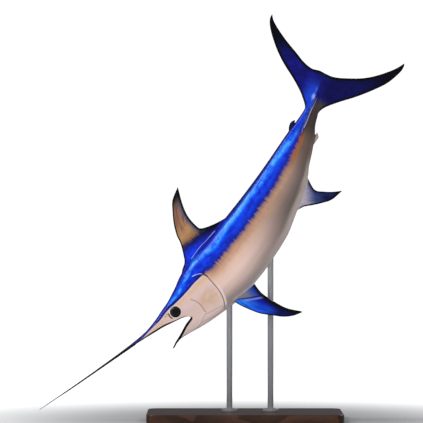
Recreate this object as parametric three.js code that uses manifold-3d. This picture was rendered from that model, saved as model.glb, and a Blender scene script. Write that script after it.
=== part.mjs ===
// Life-size swordfish on a plain display stand, head down and mouth open.
// Millimetres, +Z up. The head points to -X and the left flank faces -Y.
// The origin is the middle of the stand's foot, on the floor.
//
// The fish is laid out straight first: u runs from the tip of the bill to the tail,
// v is up towards the back, and w is out towards the fish's left. place(u, v, w) then
// bends it along its spine into the pose.
import * as THREE from 'three';
import { mergeVertices } from 'three/addons/utils/BufferGeometryUtils.js';
import Module from 'manifold-3d';

const wasm = await Module();
wasm.setup();

// Pose: angle of the spine above the horizontal, in degrees, along the length u
const SPINE_ANGLE = [
  [0, 34.6], [590, 34.6], [825, 39], [1000, 46], [1175, 51],
  [1450, 55.5], [1700, 61], [1950, 66.5], [2200, 69.5], [2400, 70],
];
const SPINE_REACH = 2700;
// How far the spine swings towards the fish's left, along u
const SWING = [[0, 0], [1150, 0], [1500, 8], [1900, 42], [2200, 78], [2600, 128]];
// The tip of the bill from the middle of the stand's foot
const BILL_TIP = { x: -1050, z: 55 };

// Body: height of the back and depth of the belly from the spine, and half the width
const BACK = [
  [0, 1.2], [120, 1.2], [300, 2], [400, 4], [500, 6.5], [590, 11], [664, 18], [716, 29], [764, 43],
  [810, 58], [860, 72], [904, 88], [950, 104], [992, 120], [1040, 131], [1120, 136], [1250, 137],
  [1400, 131], [1550, 120], [1700, 105], [1850, 86], [1950, 69], [2050, 44], [2110, 32], [2165, 26], [2215, 13],
];
const BELLY = [
  [0, 1.2], [100, 3.5], [200, 6], [400, 6.5], [590, 6.5], [640, 40], [700, 100], [741, 128],
  [768, 120], [797, 116.5], [840, 122.5], [901, 136], [950, 147], [1008, 158], [1098, 176],
  [1200, 187], [1300, 191], [1400, 188], [1500, 183], [1600, 164], [1700, 145], [1800, 123],
  [1850, 104], [1920, 88], [2000, 67], [2050, 49], [2110, 40], [2165, 28], [2215, 13],
];
const HALF_WIDTH = [
  [0, 1.6], [100, 6], [300, 14], [450, 20], [590, 27], [650, 29], [700, 31.5], [750, 36], [800, 42],
  [860, 51], [900, 58], [950, 67], [1000, 76], [1100, 92], [1200, 102], [1300, 104], [1450, 97],
  [1600, 83], [1750, 66], [1900, 48], [2020, 35], [2100, 27], [2150, 18], [2215, 4.5],
];
// Level of the widest part, and how square the section is above and below it (2 is an ellipse)
const WIDEST_LEVEL = [
  [0, 0], [120, -1], [300, -2.2], [450, -0.5], [590, 2], [700, -6], [800, -14], [900, -18],
  [1050, -16], [1300, -10], [1700, -5], [2000, 0],
];
const SQUARE_ABOVE = [[0, 2], [590, 2], [800, 2.3], [1000, 2.3], [1300, 2.15], [2200, 2]];
const SQUARE_BELOW = [[0, 2], [590, 2], [760, 1.7], [900, 1.75], [1100, 2.1], [2200, 2]];

// Places along u where one part of the body ends and the next begins
const BILL_END = 590;
const CHEEK = 950;
const TORSO_SPLIT = 1500;
const STALK_START = 1900;
const STALK_END = 2215;
// Rear edge of the gill covers, as u for each level v
const GILL_EDGE = [
  [-178, 1018], [-160, 1026], [-151, 1042], [-133, 1061], [-102, 1079], [-64, 1092], [-19, 1098],
  [25, 1103], [48, 1095], [64, 1080], [80, 1058], [110, 1045], [140, 1042],
];
// Middle of the cut between head and torso
const NECK = { u: 1040, v: -20 };
// The gill covers stand proud by rise, which grows over a length behind the cheek and fades
// at the throat and under the crown. They reach in as far as inner from the middle.
const GILL = { rise: 3.5, over: 70, throat: [-168, -140], crown: [62, 84], inner: 42 };
const GILL_FRONT = [
  [1002, 76], [975, 60], [966, 25], [973, -33], [973, -80], [984, -112], [1008, -140], [1026, -157],
];

// Mouth: the edge of the upper jaw from the bill to the corner, then the edge of the lower jaw
const UPPER_JAW_EDGE = [
  [594, -4], [668, -6.5], [715, -9.5], [762, -13.5], [806, -22.5], [848, -32.5], [872, -40], [890, -51],
];
const MOUTH_CORNER = [899, -62];
const LOWER_JAW_EDGE = [
  [893, -68], [876, -72], [852, -79], [832, -88], [813, -97], [794, -106], [770, -115], [737, -131],
];
const JAW_HINGE = [[900, -64], [912, -110], [924, -165]];
// Below the lower jaw the gap of the mouth is open to the front
const MOUTH_FRONT = [[730, -180], [640, -120], [592, -40]];
const JAW_REACH = { front: 700, below: -190 };
const LIP = { radius: 2.6, inset: 1.4, sunk: 0.4, sides: 6, steps: 12 };
const GULLET = { at: [872, -80, 0], radii: [88, 15, 33], pitch: 17 };
const TONGUE = { at: [862, -97, 0], radii: [34, 6, 12], pitch: 20 };

// Eyes and nostrils
const EYE = { u: 858.5, v: 8, radius: 28, depth: 17, sunk: 7 };
const EYE_RIM = { at: 27.5, radius: 3.6, sunk: 0.25, sides: 6, steps: 20 };
const NOSTRILS = [[802, 22], [816, 25]];
const NOSTRIL = { radii: [4.6, 2.1, 3.2], pitch: 25 };

// Keel on each side of the tail stalk, which runs out on the root of the tail fin
const KEEL = [[1880, 0], [1960, 5], [2060, 13], [2115, 14], [2155, 9], [2215, 1]];

// Tessellation: spokes around the body and the bill, rings along them, points of the mouth's
// outline, and [across, along] of each rounded hollow or lump
const AROUND = 32;
const BILL_AROUND = 14;
const RING_STEP = { bill: 30, head: 15, rear: 33, stalk: 22 };
const CHEEK_RINGS = 8;
const TORSO_RINGS = 20;
const MOUTH_STEPS = 14;
const ROUND = { eye: [18, 12], gullet: [16, 10], tongue: [12, 8], nostril: [10, 6] };
const CORNER_SEGMENTS = 8;
// Half the width of a cut that goes through the whole head
const CUT_WIDTH = 160;

// Clearance between touching parts
const GAP = 0.3;

// Fins: root inside the body from front to back, leading edge out to the tip, and the
// trailing edge from the tip back to the root, all as [u, v]
const FIRST_DORSAL = {
  root: [[1000, 108], [1225, 112], [1452, 100]],
  lead: [
    [1000, 108], [1034, 136], [1078, 154], [1107, 184], [1147, 235], [1168, 275], [1209, 324],
    [1258, 366], [1312, 403], [1391, 421],
  ],
  trail: [
    [1391, 421], [1330, 353], [1292, 292], [1277, 228], [1283, 198], [1335, 163], [1400, 132],
    [1452, 114],
  ],
  rays: 10, rows: 11, thick: 11, edge: 0.9,
};
const SECOND_DORSAL = {
  root: [[1950, 50], [1990, 40], [2034, 28]],
  lead: [[1950, 50], [1968, 65], [1998, 74], [2020, 71], [2036, 57]],
  trail: [[2036, 57], [2022, 50], [2026, 42], [2036, 34]],
  rays: 3, rows: 4, thick: 4.5, edge: 0.8,
};
const FIRST_ANAL = {
  root: [[1606, -130], [1710, -118], [1806, -96]],
  lead: [
    [1606, -130], [1642, -161], [1666, -177], [1692, -211], [1722, -248], [1758, -285], [1815, -311],
  ],
  trail: [[1815, -311], [1790, -268], [1772, -226], [1761, -193], [1770, -163], [1806, -112]],
  rays: 8, rows: 8, thick: 9, edge: 0.9,
};
const SECOND_ANAL = {
  root: [[1925, -62], [1970, -48], [2016, -34]],
  lead: [[1925, -62], [1947, -77], [1976, -84], [2000, -88], [2020, -71]],
  trail: [[2020, -71], [2007, -65], [2004, -56], [2016, -44]],
  rays: 3, rows: 4, thick: 4.5, edge: 0.8,
};
const TAIL_UPPER = {
  root: [[2085, 12], [2118, 6], [2140, 0.2]],
  lead: [
    [2085, 12], [2114, 28], [2146, 55], [2182, 86], [2240, 151], [2298, 225], [2360, 287], [2428, 338],
    [2474, 358], [2502, 355],
  ],
  trail: [
    [2502, 355], [2466, 330], [2410, 256], [2357, 168], [2329, 121], [2312, 72], [2315, 31],
    [2311, 0.2],
  ],
  rays: 8, rows: 11, thick: 14, edge: 1.1,
};
const TAIL_LOWER = {
  root: [[2085, -12], [2118, -6], [2140, -0.2]],
  lead: [
    [2085, -12], [2120, -40], [2150, -61], [2203, -123], [2254, -190], [2310, -254], [2374, -316],
    [2441, -355], [2476, -365], [2496, -362],
  ],
  trail: [[2496, -362], [2451, -325], [2396, -259], [2354, -189], [2321, -98], [2309, -45], [2311, -0.2]],
  rays: 8, rows: 11, thick: 14, edge: 1.1,
};
const PECTORAL = {
  root: [[1094, -140], [1156, -150], [1228, -158]],
  lead: [
    [1094, -140], [1102, -200], [1119, -262], [1135, -308], [1165, -362], [1190, -405], [1222, -440],
    [1262, -466],
  ],
  trail: [[1262, -466], [1230, -398], [1216, -330], [1210, -262], [1215, -222], [1234, -158]],
  rays: 8, rows: 10, thick: 9, edge: 0.9,
};
// Pectoral fins lean out from the body and fold along a crease at the rear of the root
const PECTORAL_LEAN = { from: -140, at: 34, slope: 0.5 };
const PECTORAL_CREASE = { from: [1110, -168], to: [1206, -259], fold: 0.55 };
// How much further down and forward the tip of the right pectoral fin reaches than the left one's
const RIGHT_REACH = { forward: 8, down: 12 };
// Ridge of each ray on a fin's face: its height, how it fades towards the trailing edge, and
// how soon it starts at the root
const RAY_RIDGE = { height: 0.7, fade: 0.5, start: 6 };
// Section of a fin: it thickens towards the root by fade, and a part of its thickness called
// spread stays all the way out. Behind the blunt nose it thins by taper to the last ray.
const FOIL = { fade: 2.2, spread: 0.12, nose: 5, taper: 0.55, rim: 0.25 };

// Stand
const BASE = { length: 1000, depth: 560, height: 45, corner: 60 };
// Both rods stop where they meet the belly, somewhere below top
const ROD = { radius: 15, sides: 24, top: 1100 };
const RODS = [['front', -78], ['rear', 132]];
const COLLAR = { radius: 42, height: 16, chamfer: 5 };

const COLOURS = {
  blue: '#0b36c8', navy: '#05104e', flank: '#c3a596', black: '#0c0c10',
  tan: '#b98a5c', wood: '#2b211b', steel: '#b9bcc0',
};

const radians = THREE.MathUtils.degToRad;
const clamp01 = (x) => THREE.MathUtils.clamp(x, 0, 1);
const smooth = (x, from, to) => THREE.MathUtils.smoothstep(x, from, to);

// Smooth curve through a table of [x, y] that never overshoots, level past its ends
function through(table) {
  const n = table.length;
  const slope = [];
  for (let i = 0; i < n - 1; i++) {
    slope.push((table[i + 1][1] - table[i][1]) / (table[i + 1][0] - table[i][0]));
  }
  const tangent = table.map((_, i) => {
    if (i === 0) return slope[0];
    if (i === n - 1) return slope[n - 2];
    const a = slope[i - 1];
    const b = slope[i];
    return a * b <= 0 ? 0 : (2 * a * b) / (a + b);
  });
  return (x) => {
    if (x <= table[0][0]) return table[0][1];
    if (x >= table[n - 1][0]) return table[n - 1][1];
    let i = 0;
    while (x > table[i + 1][0]) i++;
    const h = table[i + 1][0] - table[i][0];
    const t = (x - table[i][0]) / h;
    const t2 = t * t;
    const t3 = t2 * t;
    return (2 * t3 - 3 * t2 + 1) * table[i][1] + (t3 - 2 * t2 + t) * h * tangent[i]
      + (3 * t2 - 2 * t3) * table[i + 1][1] + (t3 - t2) * h * tangent[i + 1];
  };
}

const back = through(BACK);
const belly = through(BELLY);
const halfWidth = through(HALF_WIDTH);
const widestLevel = through(WIDEST_LEVEL);
const squareAbove = through(SQUARE_ABOVE);
const squareBelow = through(SQUARE_BELOW);
const gillEdge = through(GILL_EDGE);
const keel = through(KEEL);
const spineAngle = through(SPINE_ANGLE);
const swing = through(SWING);

// The spine's path in the upright plane, one point for each millimetre of u
const spinePath = [[BILL_TIP.x, BILL_TIP.z]];
for (let u = 0; u < SPINE_REACH; u++) {
  const angle = radians(spineAngle(u + 0.5));
  const [x, z] = spinePath[u];
  spinePath.push([x + Math.cos(angle), z + Math.sin(angle)]);
}

// From the straight fish to the pose
function place(u, v, w) {
  const at = THREE.MathUtils.clamp(u, 0, SPINE_REACH - 1);
  const i = Math.floor(at);
  const f = at - i;
  const angle = radians(spineAngle(at));
  const [cos, sin] = [Math.cos(angle), Math.sin(angle)];
  const past = u - at;
  const x = spinePath[i][0] * (1 - f) + spinePath[i + 1][0] * f + past * cos;
  const z = spinePath[i][1] * (1 - f) + spinePath[i + 1][1] * f + past * sin;
  const turn = Math.atan(swing(at + 1) - swing(at));
  const slide = w * Math.sin(turn);
  return new THREE.Vector3(
    x - v * sin - slide * cos,
    -(swing(at) + w * Math.cos(turn)),
    z + v * cos - slide * sin,
  );
}

// Point on the body's skin at u, with the angle counted from the left side up over the back
function skin(u, angle) {
  const [cos, sin] = [Math.cos(angle), Math.sin(angle)];
  const square = sin >= 0 ? squareAbove(u) : squareBelow(u);
  const level = widestLevel(u);
  const reach = sin >= 0 ? back(u) - level : belly(u) + level;
  const v = level + reach * Math.sign(sin) * Math.abs(sin) ** (2 / square);
  let w = halfWidth(u) * Math.sign(cos) * Math.abs(cos) ** (2 / square);
  if (Math.abs(sin) < 0.05) w += Math.sign(cos) * keel(u) * (u > KEEL[0][0] ? 1 : 0);
  return [v, w];
}

// Half the body's width at u and v
function skinWidth(u, v) {
  const level = widestLevel(u);
  const above = v >= level;
  const square = above ? squareAbove(u) : squareBelow(u);
  const reach = above ? back(u) - level : belly(u) + level;
  return halfWidth(u) * (1 - clamp01(Math.abs(v - level) / reach) ** square) ** (1 / square);
}

// The gill covers stand a little proud of the torso behind them
function gillRise(u, v) {
  const along = smooth(u, CHEEK, CHEEK + GILL.over);
  return GILL.rise * along * smooth(v, ...GILL.throat) * (1 - smooth(v, ...GILL.crown));
}

// Places of the gill edge on the skin, one for each spoke around the body. The level of a
// spoke depends on u, so u settles in steps.
function gillRing() {
  const settling = 30;
  return Array.from({ length: AROUND }, (_, j) => {
    let u = NECK.u;
    for (let i = 0; i < settling; i++) {
      u = (u + gillEdge(skin(u, (j / AROUND) * 2 * Math.PI)[0])) / 2;
    }
    return u;
  });
}

// Closed shape from its points and triangles
function shape(points, faces) {
  const geometry = new THREE.BufferGeometry();
  const positions = points.flatMap((p) => [p.x, p.y, p.z]);
  geometry.setAttribute('position', new THREE.Float32BufferAttribute(positions, 3));
  geometry.setIndex(faces.flat());
  return geometry;
}

// Solid from a closed shape: points at the same place become one, and triangles that
// collapse are left out
function solid(geometry) {
  const bare = geometry.clone();
  bare.deleteAttribute('normal');
  bare.deleteAttribute('uv');
  const merged = mergeVertices(bare, 1e-3);
  const index = [...merged.index.array];
  const kept = [];
  for (let i = 0; i < index.length; i += 3) {
    const [a, b, c] = index.slice(i, i + 3);
    if (a !== b && b !== c && c !== a) kept.push(a, b, c);
  }
  return new wasm.Manifold(new wasm.Mesh({
    numProp: 3,
    vertProperties: new Float32Array(merged.attributes.position.array),
    triVerts: new Uint32Array(kept),
  }));
}

function largest(body) {
  const pieces = body.decompose();
  return pieces.reduce((a, b) => (a.volume() > b.volume() ? a : b));
}

function geometryOf(body) {
  const mesh = largest(body).getMesh();
  const geometry = new THREE.BufferGeometry();
  geometry.setAttribute('position', new THREE.BufferAttribute(Float32Array.from(mesh.vertProperties), 3));
  geometry.setIndex(new THREE.BufferAttribute(Uint32Array.from(mesh.triVerts), 1));
  geometry.computeVertexNormals();
  return geometry;
}

// Closed loft: at(k, j) for ring k and spoke j gives [u, v, w], and each end is closed by a
// fan to its middle
function loft(rings, spokes, at, startMiddle, endMiddle) {
  const points = [];
  const faces = [];
  for (let k = 0; k <= rings; k++) {
    for (let j = 0; j < spokes; j++) points.push(place(...at(k, j)));
  }
  const start = points.push(place(...startMiddle)) - 1;
  const end = points.push(place(...endMiddle)) - 1;
  for (let j = 0; j < spokes; j++) {
    const next = (j + 1) % spokes;
    for (let k = 0; k < rings; k++) {
      const [a, b] = [k * spokes + j, (k + 1) * spokes + j];
      const [c, d] = [(k + 1) * spokes + next, k * spokes + next];
      faces.push([a, b, c], [a, c, d]);
    }
    faces.push([start, j, next], [end, rings * spokes + next, rings * spokes + j]);
  }
  return shape(points, faces);
}

// The same shape pushed out along its normals
function grown(geometry, by) {
  const result = geometry.clone();
  result.computeVertexNormals();
  const position = result.attributes.position;
  const normal = result.attributes.normal;
  for (let i = 0; i < position.count; i++) {
    position.setXYZ(
      i,
      position.getX(i) + normal.getX(i) * by,
      position.getY(i) + normal.getY(i) * by,
      position.getZ(i) + normal.getZ(i) * by,
    );
  }
  return result;
}

// Outline in [u, v], counterclockwise, as a slab from one w to another
function slab(outline, from, to) {
  const flat = outline.map(([u, v]) => new THREE.Vector2(u, v));
  const ordered = THREE.ShapeUtils.isClockWise(flat) ? flat.reverse() : flat;
  const caps = THREE.ShapeUtils.triangulateShape(ordered, []);
  const n = ordered.length;
  const points = [
    ...ordered.map((p) => place(p.x, p.y, from)),
    ...ordered.map((p) => place(p.x, p.y, to)),
  ];
  const faces = [];
  caps.forEach(([a, b, c]) => faces.push([c, b, a], [a + n, b + n, c + n]));
  for (let i = 0; i < n; i++) {
    const j = (i + 1) % n;
    faces.push([i, j, j + n], [i, j + n, i + n]);
  }
  return shape(points, faces);
}

// Ellipsoid in the straight fish, pitched nose down by an angle in degrees
function ellipsoid({ at, radii, pitch = 0 }, [across, along]) {
  const geometry = new THREE.SphereGeometry(1, across, along);
  const position = geometry.attributes.position;
  const [cos, sin] = [Math.cos(radians(pitch)), Math.sin(radians(pitch))];
  for (let i = 0; i < position.count; i++) {
    const a = position.getX(i) * radii[0];
    const b = position.getY(i) * radii[1];
    const c = position.getZ(i) * radii[2];
    const p = place(at[0] + a * cos - b * sin, at[1] + a * sin + b * cos, at[2] + c);
    position.setXYZ(i, p.x, p.y, p.z);
  }
  return geometry;
}

// Points of a table of [u, v] read as a smooth line, evenly spaced
function lineThrough(table) {
  const curve = new THREE.SplineCurve(table.map(([u, v]) => new THREE.Vector2(u, v)));
  return (t) => curve.getPointAt(clamp01(t));
}

function ringsBetween(from, to, step) {
  return Math.max(2, Math.round((to - from) / step));
}

// Length of the body from one place along u to another
function bodyLoft(from, to, step, spokes = AROUND) {
  const rings = ringsBetween(from, to, step);
  const at = (k, j) => {
    const u = from + ((to - from) * k) / rings;
    return [u, ...skin(u, (j / spokes) * 2 * Math.PI)];
  };
  return loft(rings, spokes, at, [from, widestLevel(from), 0], [to, widestLevel(to), 0]);
}

// Whole head with its mouth still filled: level rings to the cheek, then rings that
// gather towards the gill edge
function headLoft() {
  const start = BILL_END + GAP;
  const front = ringsBetween(start, CHEEK, RING_STEP.head);
  const edge = gillRing();
  const at = (k, j) => {
    const u = k <= front
      ? start + ((CHEEK - start) * k) / front
      : CHEEK + ((edge[j] - CHEEK) * (k - front)) / CHEEK_RINGS;
    const [v, w] = skin(u, (j / AROUND) * 2 * Math.PI);
    return [u, v, w + Math.sign(w) * gillRise(u, v)];
  };
  const rings = front + CHEEK_RINGS;
  return loft(rings, AROUND, at, [start, widestLevel(start), 0], [NECK.u, NECK.v, 0]);
}

// Front half of the torso, from the gill edge back
function torsoFrontLoft() {
  const last = TORSO_SPLIT - GAP;
  const edge = gillRing();
  const at = (k, j) => {
    const from = edge[j] + GAP;
    const u = from + ((last - from) * k) / TORSO_RINGS;
    return [u, ...skin(u, (j / AROUND) * 2 * Math.PI)];
  };
  return loft(TORSO_RINGS, AROUND, at, [NECK.u + GAP, NECK.v, 0], [last, widestLevel(last), 0]);
}

// The gap of the open mouth, as wide as the head
function mouthGap() {
  const upper = lineThrough([...UPPER_JAW_EDGE, MOUTH_CORNER]);
  const lower = lineThrough([MOUTH_CORNER, ...LOWER_JAW_EDGE]);
  const outline = [];
  for (let i = 0; i <= MOUTH_STEPS; i++) outline.push(upper(i / MOUTH_STEPS).toArray());
  for (let i = 1; i <= MOUTH_STEPS; i++) outline.push(lower(i / MOUTH_STEPS).toArray());
  return slab([...outline, ...MOUTH_FRONT], -CUT_WIDTH, CUT_WIDTH);
}

// Everything of the head that belongs to the lower jaw
function jawRegion(clearance) {
  const hinge = JAW_HINGE.map(([u, v]) => [u + clearance, v]);
  const top = hinge[0][1] + clearance;
  hinge[0][1] = top;
  const { front, below } = JAW_REACH;
  return slab([...hinge, [front, below], [front, top]], -CUT_WIDTH, CUT_WIDTH);
}

// Ring or rope of round section along points on the skin
function rope(points, radius, sides, steps, closed = false) {
  const round = new THREE.Shape();
  round.absarc(0, 0, radius, 0, 2 * Math.PI, false);
  return new THREE.ExtrudeGeometry(round, {
    steps,
    curveSegments: sides,
    bevelEnabled: false,
    extrudePath: new THREE.CatmullRomCurve3(points, closed),
  });
}

// Lip along one jaw's edge on one side of the mouth, set in from the cut by inset and sunk
// into the skin by a part of its radius
function lip(edge, side, inset) {
  const line = lineThrough(edge);
  const points = [];
  for (let i = 0; i <= LIP.steps; i++) {
    const { x: u, y: v } = line(i / LIP.steps);
    points.push(place(u, v + inset, side * (skinWidth(u, v + inset) - LIP.radius * LIP.sunk)));
  }
  return rope(points, LIP.radius, LIP.sides, LIP.steps);
}

function eyeSolid(side, grow) {
  const surface = skinWidth(EYE.u, EYE.v);
  return ellipsoid({
    at: [EYE.u, EYE.v, side * (surface - EYE.sunk)],
    radii: [EYE.radius + grow, EYE.radius + grow, EYE.depth + grow],
  }, ROUND.eye);
}

// Raised rim of the eye socket, following the skin
function eyeRim(side) {
  const points = [];
  for (let i = 0; i < EYE_RIM.steps; i++) {
    const angle = (i / EYE_RIM.steps) * 2 * Math.PI;
    const u = EYE.u + EYE_RIM.at * Math.cos(angle);
    const v = EYE.v + EYE_RIM.at * Math.sin(angle);
    points.push(place(u, v, side * (skinWidth(u, v) - EYE_RIM.radius * EYE_RIM.sunk)));
  }
  return rope(points, EYE_RIM.radius, EYE_RIM.sides, EYE_RIM.steps, true);
}

function nostril([u, v], side) {
  return ellipsoid({ ...NOSTRIL, at: [u, v, side * skinWidth(u, v)] }, ROUND.nostril);
}

// Region of one gill cover: its front edge, closed round behind the head
function gillRegion(side, clearance) {
  const front = GILL_FRONT.map(([u, v]) => [u - clearance, v]);
  front[0][1] += clearance;
  front[front.length - 1][1] -= clearance;
  const [top, bottom] = [front[0], front[front.length - 1]];
  const behind = TORSO_SPLIT;
  const outline = [...front, [behind, bottom[1]], [behind, top[1]]];
  const inner = GILL.inner - clearance;
  return side > 0 ? slab(outline, inner, CUT_WIDTH) : slab(outline, -CUT_WIDTH, -inner);
}

// Thin fin: rays fan from the root to the trailing edge and bend like the leading edge. Every
// second column of points is the crest of a ray.
// lean(u, v) moves its middle sideways.
function fin({ root, lead, trail, rays, rows, thick, edge }, lean = () => 0) {
  const rootLine = lineThrough(root);
  const leadLine = lineThrough(lead);
  const trailLine = lineThrough(trail);
  const columns = rays * 2;
  const tip = leadLine(1);
  const middle = (s, t) => {
    const bow = leadLine(t).sub(leadLine(0).lerp(tip, t)).multiplyScalar(1 - s);
    return rootLine(s).lerp(trailLine(s), t).add(bow);
  };
  const half = (i, s, t) => {
    const foil = Math.sqrt(clamp01(s * FOIL.nose)) * (1 - FOIL.taper * s);
    const flare = thick * ((1 - t) ** FOIL.fade + FOIL.spread * (1 - t));
    const ray = i % 2 === 1 ? (1 - t) ** RAY_RIDGE.fade * clamp01(t * RAY_RIDGE.start) : 0;
    return t === 1 || s === 0 ? edge + flare * FOIL.rim : edge + flare * foil + RAY_RIDGE.height * ray;
  };
  const points = [];
  for (const side of [1, -1]) {
    for (let i = 0; i <= columns; i++) {
      for (let k = 0; k <= rows; k++) {
        const [s, t] = [i / columns, k / rows];
        const p = middle(s, t);
        points.push(place(p.x, p.y, lean(p.x, p.y) + side * half(i, s, t)));
      }
    }
  }
  const sheet = (columns + 1) * (rows + 1);
  const id = (i, k) => i * (rows + 1) + k;
  const faces = [];
  for (let i = 0; i < columns; i++) {
    for (let k = 0; k < rows; k++) {
      const [a, b, c, d] = [id(i, k), id(i + 1, k), id(i + 1, k + 1), id(i, k + 1)];
      const [e, f, g, h] = [a + sheet, b + sheet, c + sheet, d + sheet];
      faces.push([a, b, c], [a, c, d], [g, f, e], [h, g, e]);
    }
  }
  const wall = (a, b) => faces.push([b, a, a + sheet], [b, a + sheet, b + sheet]);
  for (let i = 0; i < columns; i++) {
    wall(id(i, 0), id(i + 1, 0));
    wall(id(i + 1, rows), id(i, rows));
  }
  for (let k = 0; k < rows; k++) {
    wall(id(0, k + 1), id(0, k));
    wall(id(columns, k), id(columns, k + 1));
  }
  const result = solid(shape(points, faces));
  return result.volume() > 0 ? result : solid(shape(points, faces.map((f) => [...f].reverse())));
}

// Sideways place of a pectoral fin's middle, out along its lean and in past its crease
function pectoralLean(side) {
  const { from, to, fold } = PECTORAL_CREASE;
  const [du, dv] = [to[0] - from[0], to[1] - from[1]];
  const length = Math.hypot(du, dv);
  return (u, v) => {
    const out = PECTORAL_LEAN.at + PECTORAL_LEAN.slope * (PECTORAL_LEAN.from - v);
    const behind = (du * (v - from[1]) - dv * (u - from[0])) / length;
    return side * (out - fold * Math.max(0, behind));
  };
}

function rightPectoral() {
  const shift = ([u, v]) => {
    const f = clamp01((PECTORAL_LEAN.from - v) / (PECTORAL_LEAN.from - PECTORAL.trail[0][1])) ** 2;
    return [u - RIGHT_REACH.forward * f, v - RIGHT_REACH.down * f];
  };
  return { ...PECTORAL, lead: PECTORAL.lead.map(shift), trail: PECTORAL.trail.map(shift) };
}

const parts = new THREE.Group();

// Adds a named part to the group
function add(name, geometry, colour, roughness = 0.3, metalness = 0) {
  const material = new THREE.MeshStandardMaterial({ color: colour, roughness, metalness });
  const mesh = new THREE.Mesh(geometry, material);
  mesh.name = name;
  parts.add(mesh);
}

function buildHead() {
  let head = solid(headLoft()).subtract(solid(mouthGap()));
  let jaw = largest(head.intersect(solid(jawRegion(0))));
  head = largest(head.subtract(solid(jawRegion(GAP))));
  const gullet = solid(ellipsoid(GULLET, ROUND.gullet));
  head = head.subtract(gullet);
  jaw = jaw.subtract(gullet).add(solid(ellipsoid(TONGUE, ROUND.tongue)));
  for (const side of [1, -1]) {
    head = head.add(solid(lip(UPPER_JAW_EDGE.slice(1), side, LIP.inset)));
    jaw = jaw.add(solid(lip(LOWER_JAW_EDGE.slice(1, -1), side, -LIP.inset)));
    head = head.add(solid(eyeRim(side))).subtract(solid(eyeSolid(side, GAP)));
    NOSTRILS.forEach((at) => {
      head = head.subtract(solid(nostril(at, side)));
    });
    const cover = head.intersect(solid(gillRegion(side, 0)));
    add(side > 0 ? 'gill_cover_left' : 'gill_cover_right', geometryOf(cover), COLOURS.flank);
    head = head.subtract(solid(gillRegion(side, GAP)));
    add(side > 0 ? 'eye_left' : 'eye_right', eyeSolid(side, 0), COLOURS.black, 0.05);
  }
  add('head', geometryOf(head), COLOURS.blue);
  add('lower_jaw', geometryOf(jaw), COLOURS.flank);
}

function buildBody() {
  add('bill', bodyLoft(0, BILL_END, RING_STEP.bill, BILL_AROUND), COLOURS.black);
  const front = torsoFrontLoft();
  const rear = bodyLoft(TORSO_SPLIT, STALK_START - GAP, RING_STEP.rear);
  const stalk = bodyLoft(STALK_START, STALK_END, RING_STEP.stalk);
  add('torso_front', front, COLOURS.flank);
  add('torso_rear', rear, COLOURS.flank);
  add('tail_stalk', stalk, COLOURS.blue);
  const [frontGrown, rearGrown, stalkGrown] = [front, rear, stalk].map((g) => solid(grown(g, GAP)));
  const headGrown = solid(grown(headLoft(), 2 * GAP));
  return { frontGrown, rearGrown, stalkGrown, headGrown };
}

function buildFins({ frontGrown, rearGrown, stalkGrown, headGrown }) {
  const dorsal = fin(FIRST_DORSAL).subtract(frontGrown).subtract(headGrown);
  add('first_dorsal_fin', geometryOf(dorsal), COLOURS.tan);
  add('first_anal_fin', geometryOf(fin(FIRST_ANAL).subtract(rearGrown)), COLOURS.blue);
  add('second_dorsal_fin', geometryOf(fin(SECOND_DORSAL).subtract(stalkGrown)), COLOURS.navy);
  add('second_anal_fin', geometryOf(fin(SECOND_ANAL).subtract(stalkGrown)), COLOURS.flank);
  add('tail_fin_upper', geometryOf(fin(TAIL_UPPER).subtract(stalkGrown)), COLOURS.navy);
  add('tail_fin_lower', geometryOf(fin(TAIL_LOWER).subtract(stalkGrown)), COLOURS.navy);
  const left = fin(PECTORAL, pectoralLean(1)).subtract(frontGrown);
  const right = fin(rightPectoral(), pectoralLean(-1)).subtract(frontGrown);
  add('pectoral_fin_left', geometryOf(left), COLOURS.blue);
  add('pectoral_fin_right', geometryOf(right), COLOURS.blue);
}

// Upright rod from just above the base to the belly
function rod(x, bodyGrown) {
  const geometry = new THREE.CylinderGeometry(ROD.radius, ROD.radius, ROD.top - BASE.height, ROD.sides);
  geometry.rotateX(Math.PI / 2);
  geometry.translate(x, 0, (ROD.top + BASE.height) / 2 + GAP);
  return geometryOf(solid(geometry).subtract(bodyGrown));
}

function collar(x) {
  const { radius, height, chamfer } = COLLAR;
  const bore = ROD.radius + GAP;
  const profile = [
    [bore, 0], [radius, 0], [radius, height - chamfer], [radius - chamfer, height], [bore, height],
    [bore, 0],
  ].map(([r, z]) => new THREE.Vector2(r, z));
  const geometry = new THREE.LatheGeometry(profile, ROD.sides);
  geometry.rotateX(Math.PI / 2);
  geometry.translate(x, 0, BASE.height + GAP);
  return geometry;
}

function buildStand({ frontGrown }) {
  const { length, depth, height, corner } = BASE;
  const [x, y] = [length / 2, depth / 2];
  const outline = new THREE.Shape();
  outline.moveTo(-x + corner, -y);
  outline.lineTo(x - corner, -y);
  outline.absarc(x - corner, -y + corner, corner, -Math.PI / 2, 0, false);
  outline.absarc(x - corner, y - corner, corner, 0, Math.PI / 2, false);
  outline.absarc(-x + corner, y - corner, corner, Math.PI / 2, Math.PI, false);
  outline.absarc(-x + corner, -y + corner, corner, Math.PI, 1.5 * Math.PI, false);
  const plate = new THREE.ExtrudeGeometry(outline, {
    depth: height, bevelEnabled: false, curveSegments: CORNER_SEGMENTS,
  });
  add('stand_base', geometryOf(solid(plate)), COLOURS.wood, 0.5);
  for (const [end, x] of RODS) {
    add(`stand_rod_${end}`, rod(x, frontGrown), COLOURS.steel, 0.3, 1);
    add(`stand_collar_${end}`, collar(x), COLOURS.steel, 0.3, 1);
  }
}

buildHead();
const body = buildBody();
buildFins(body);
buildStand(body);

export default parts;
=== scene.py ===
"""Life-size museum swordfish on a plain display stand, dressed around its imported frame.

The fish is laid out straight first, in millimetres: u runs from the tip of the bill to the
tail, v is up towards the back, and w is out towards the fish's left. place() bends it along
its spine into the pose, in metres.
"""

import math
from contextlib import contextmanager

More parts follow.
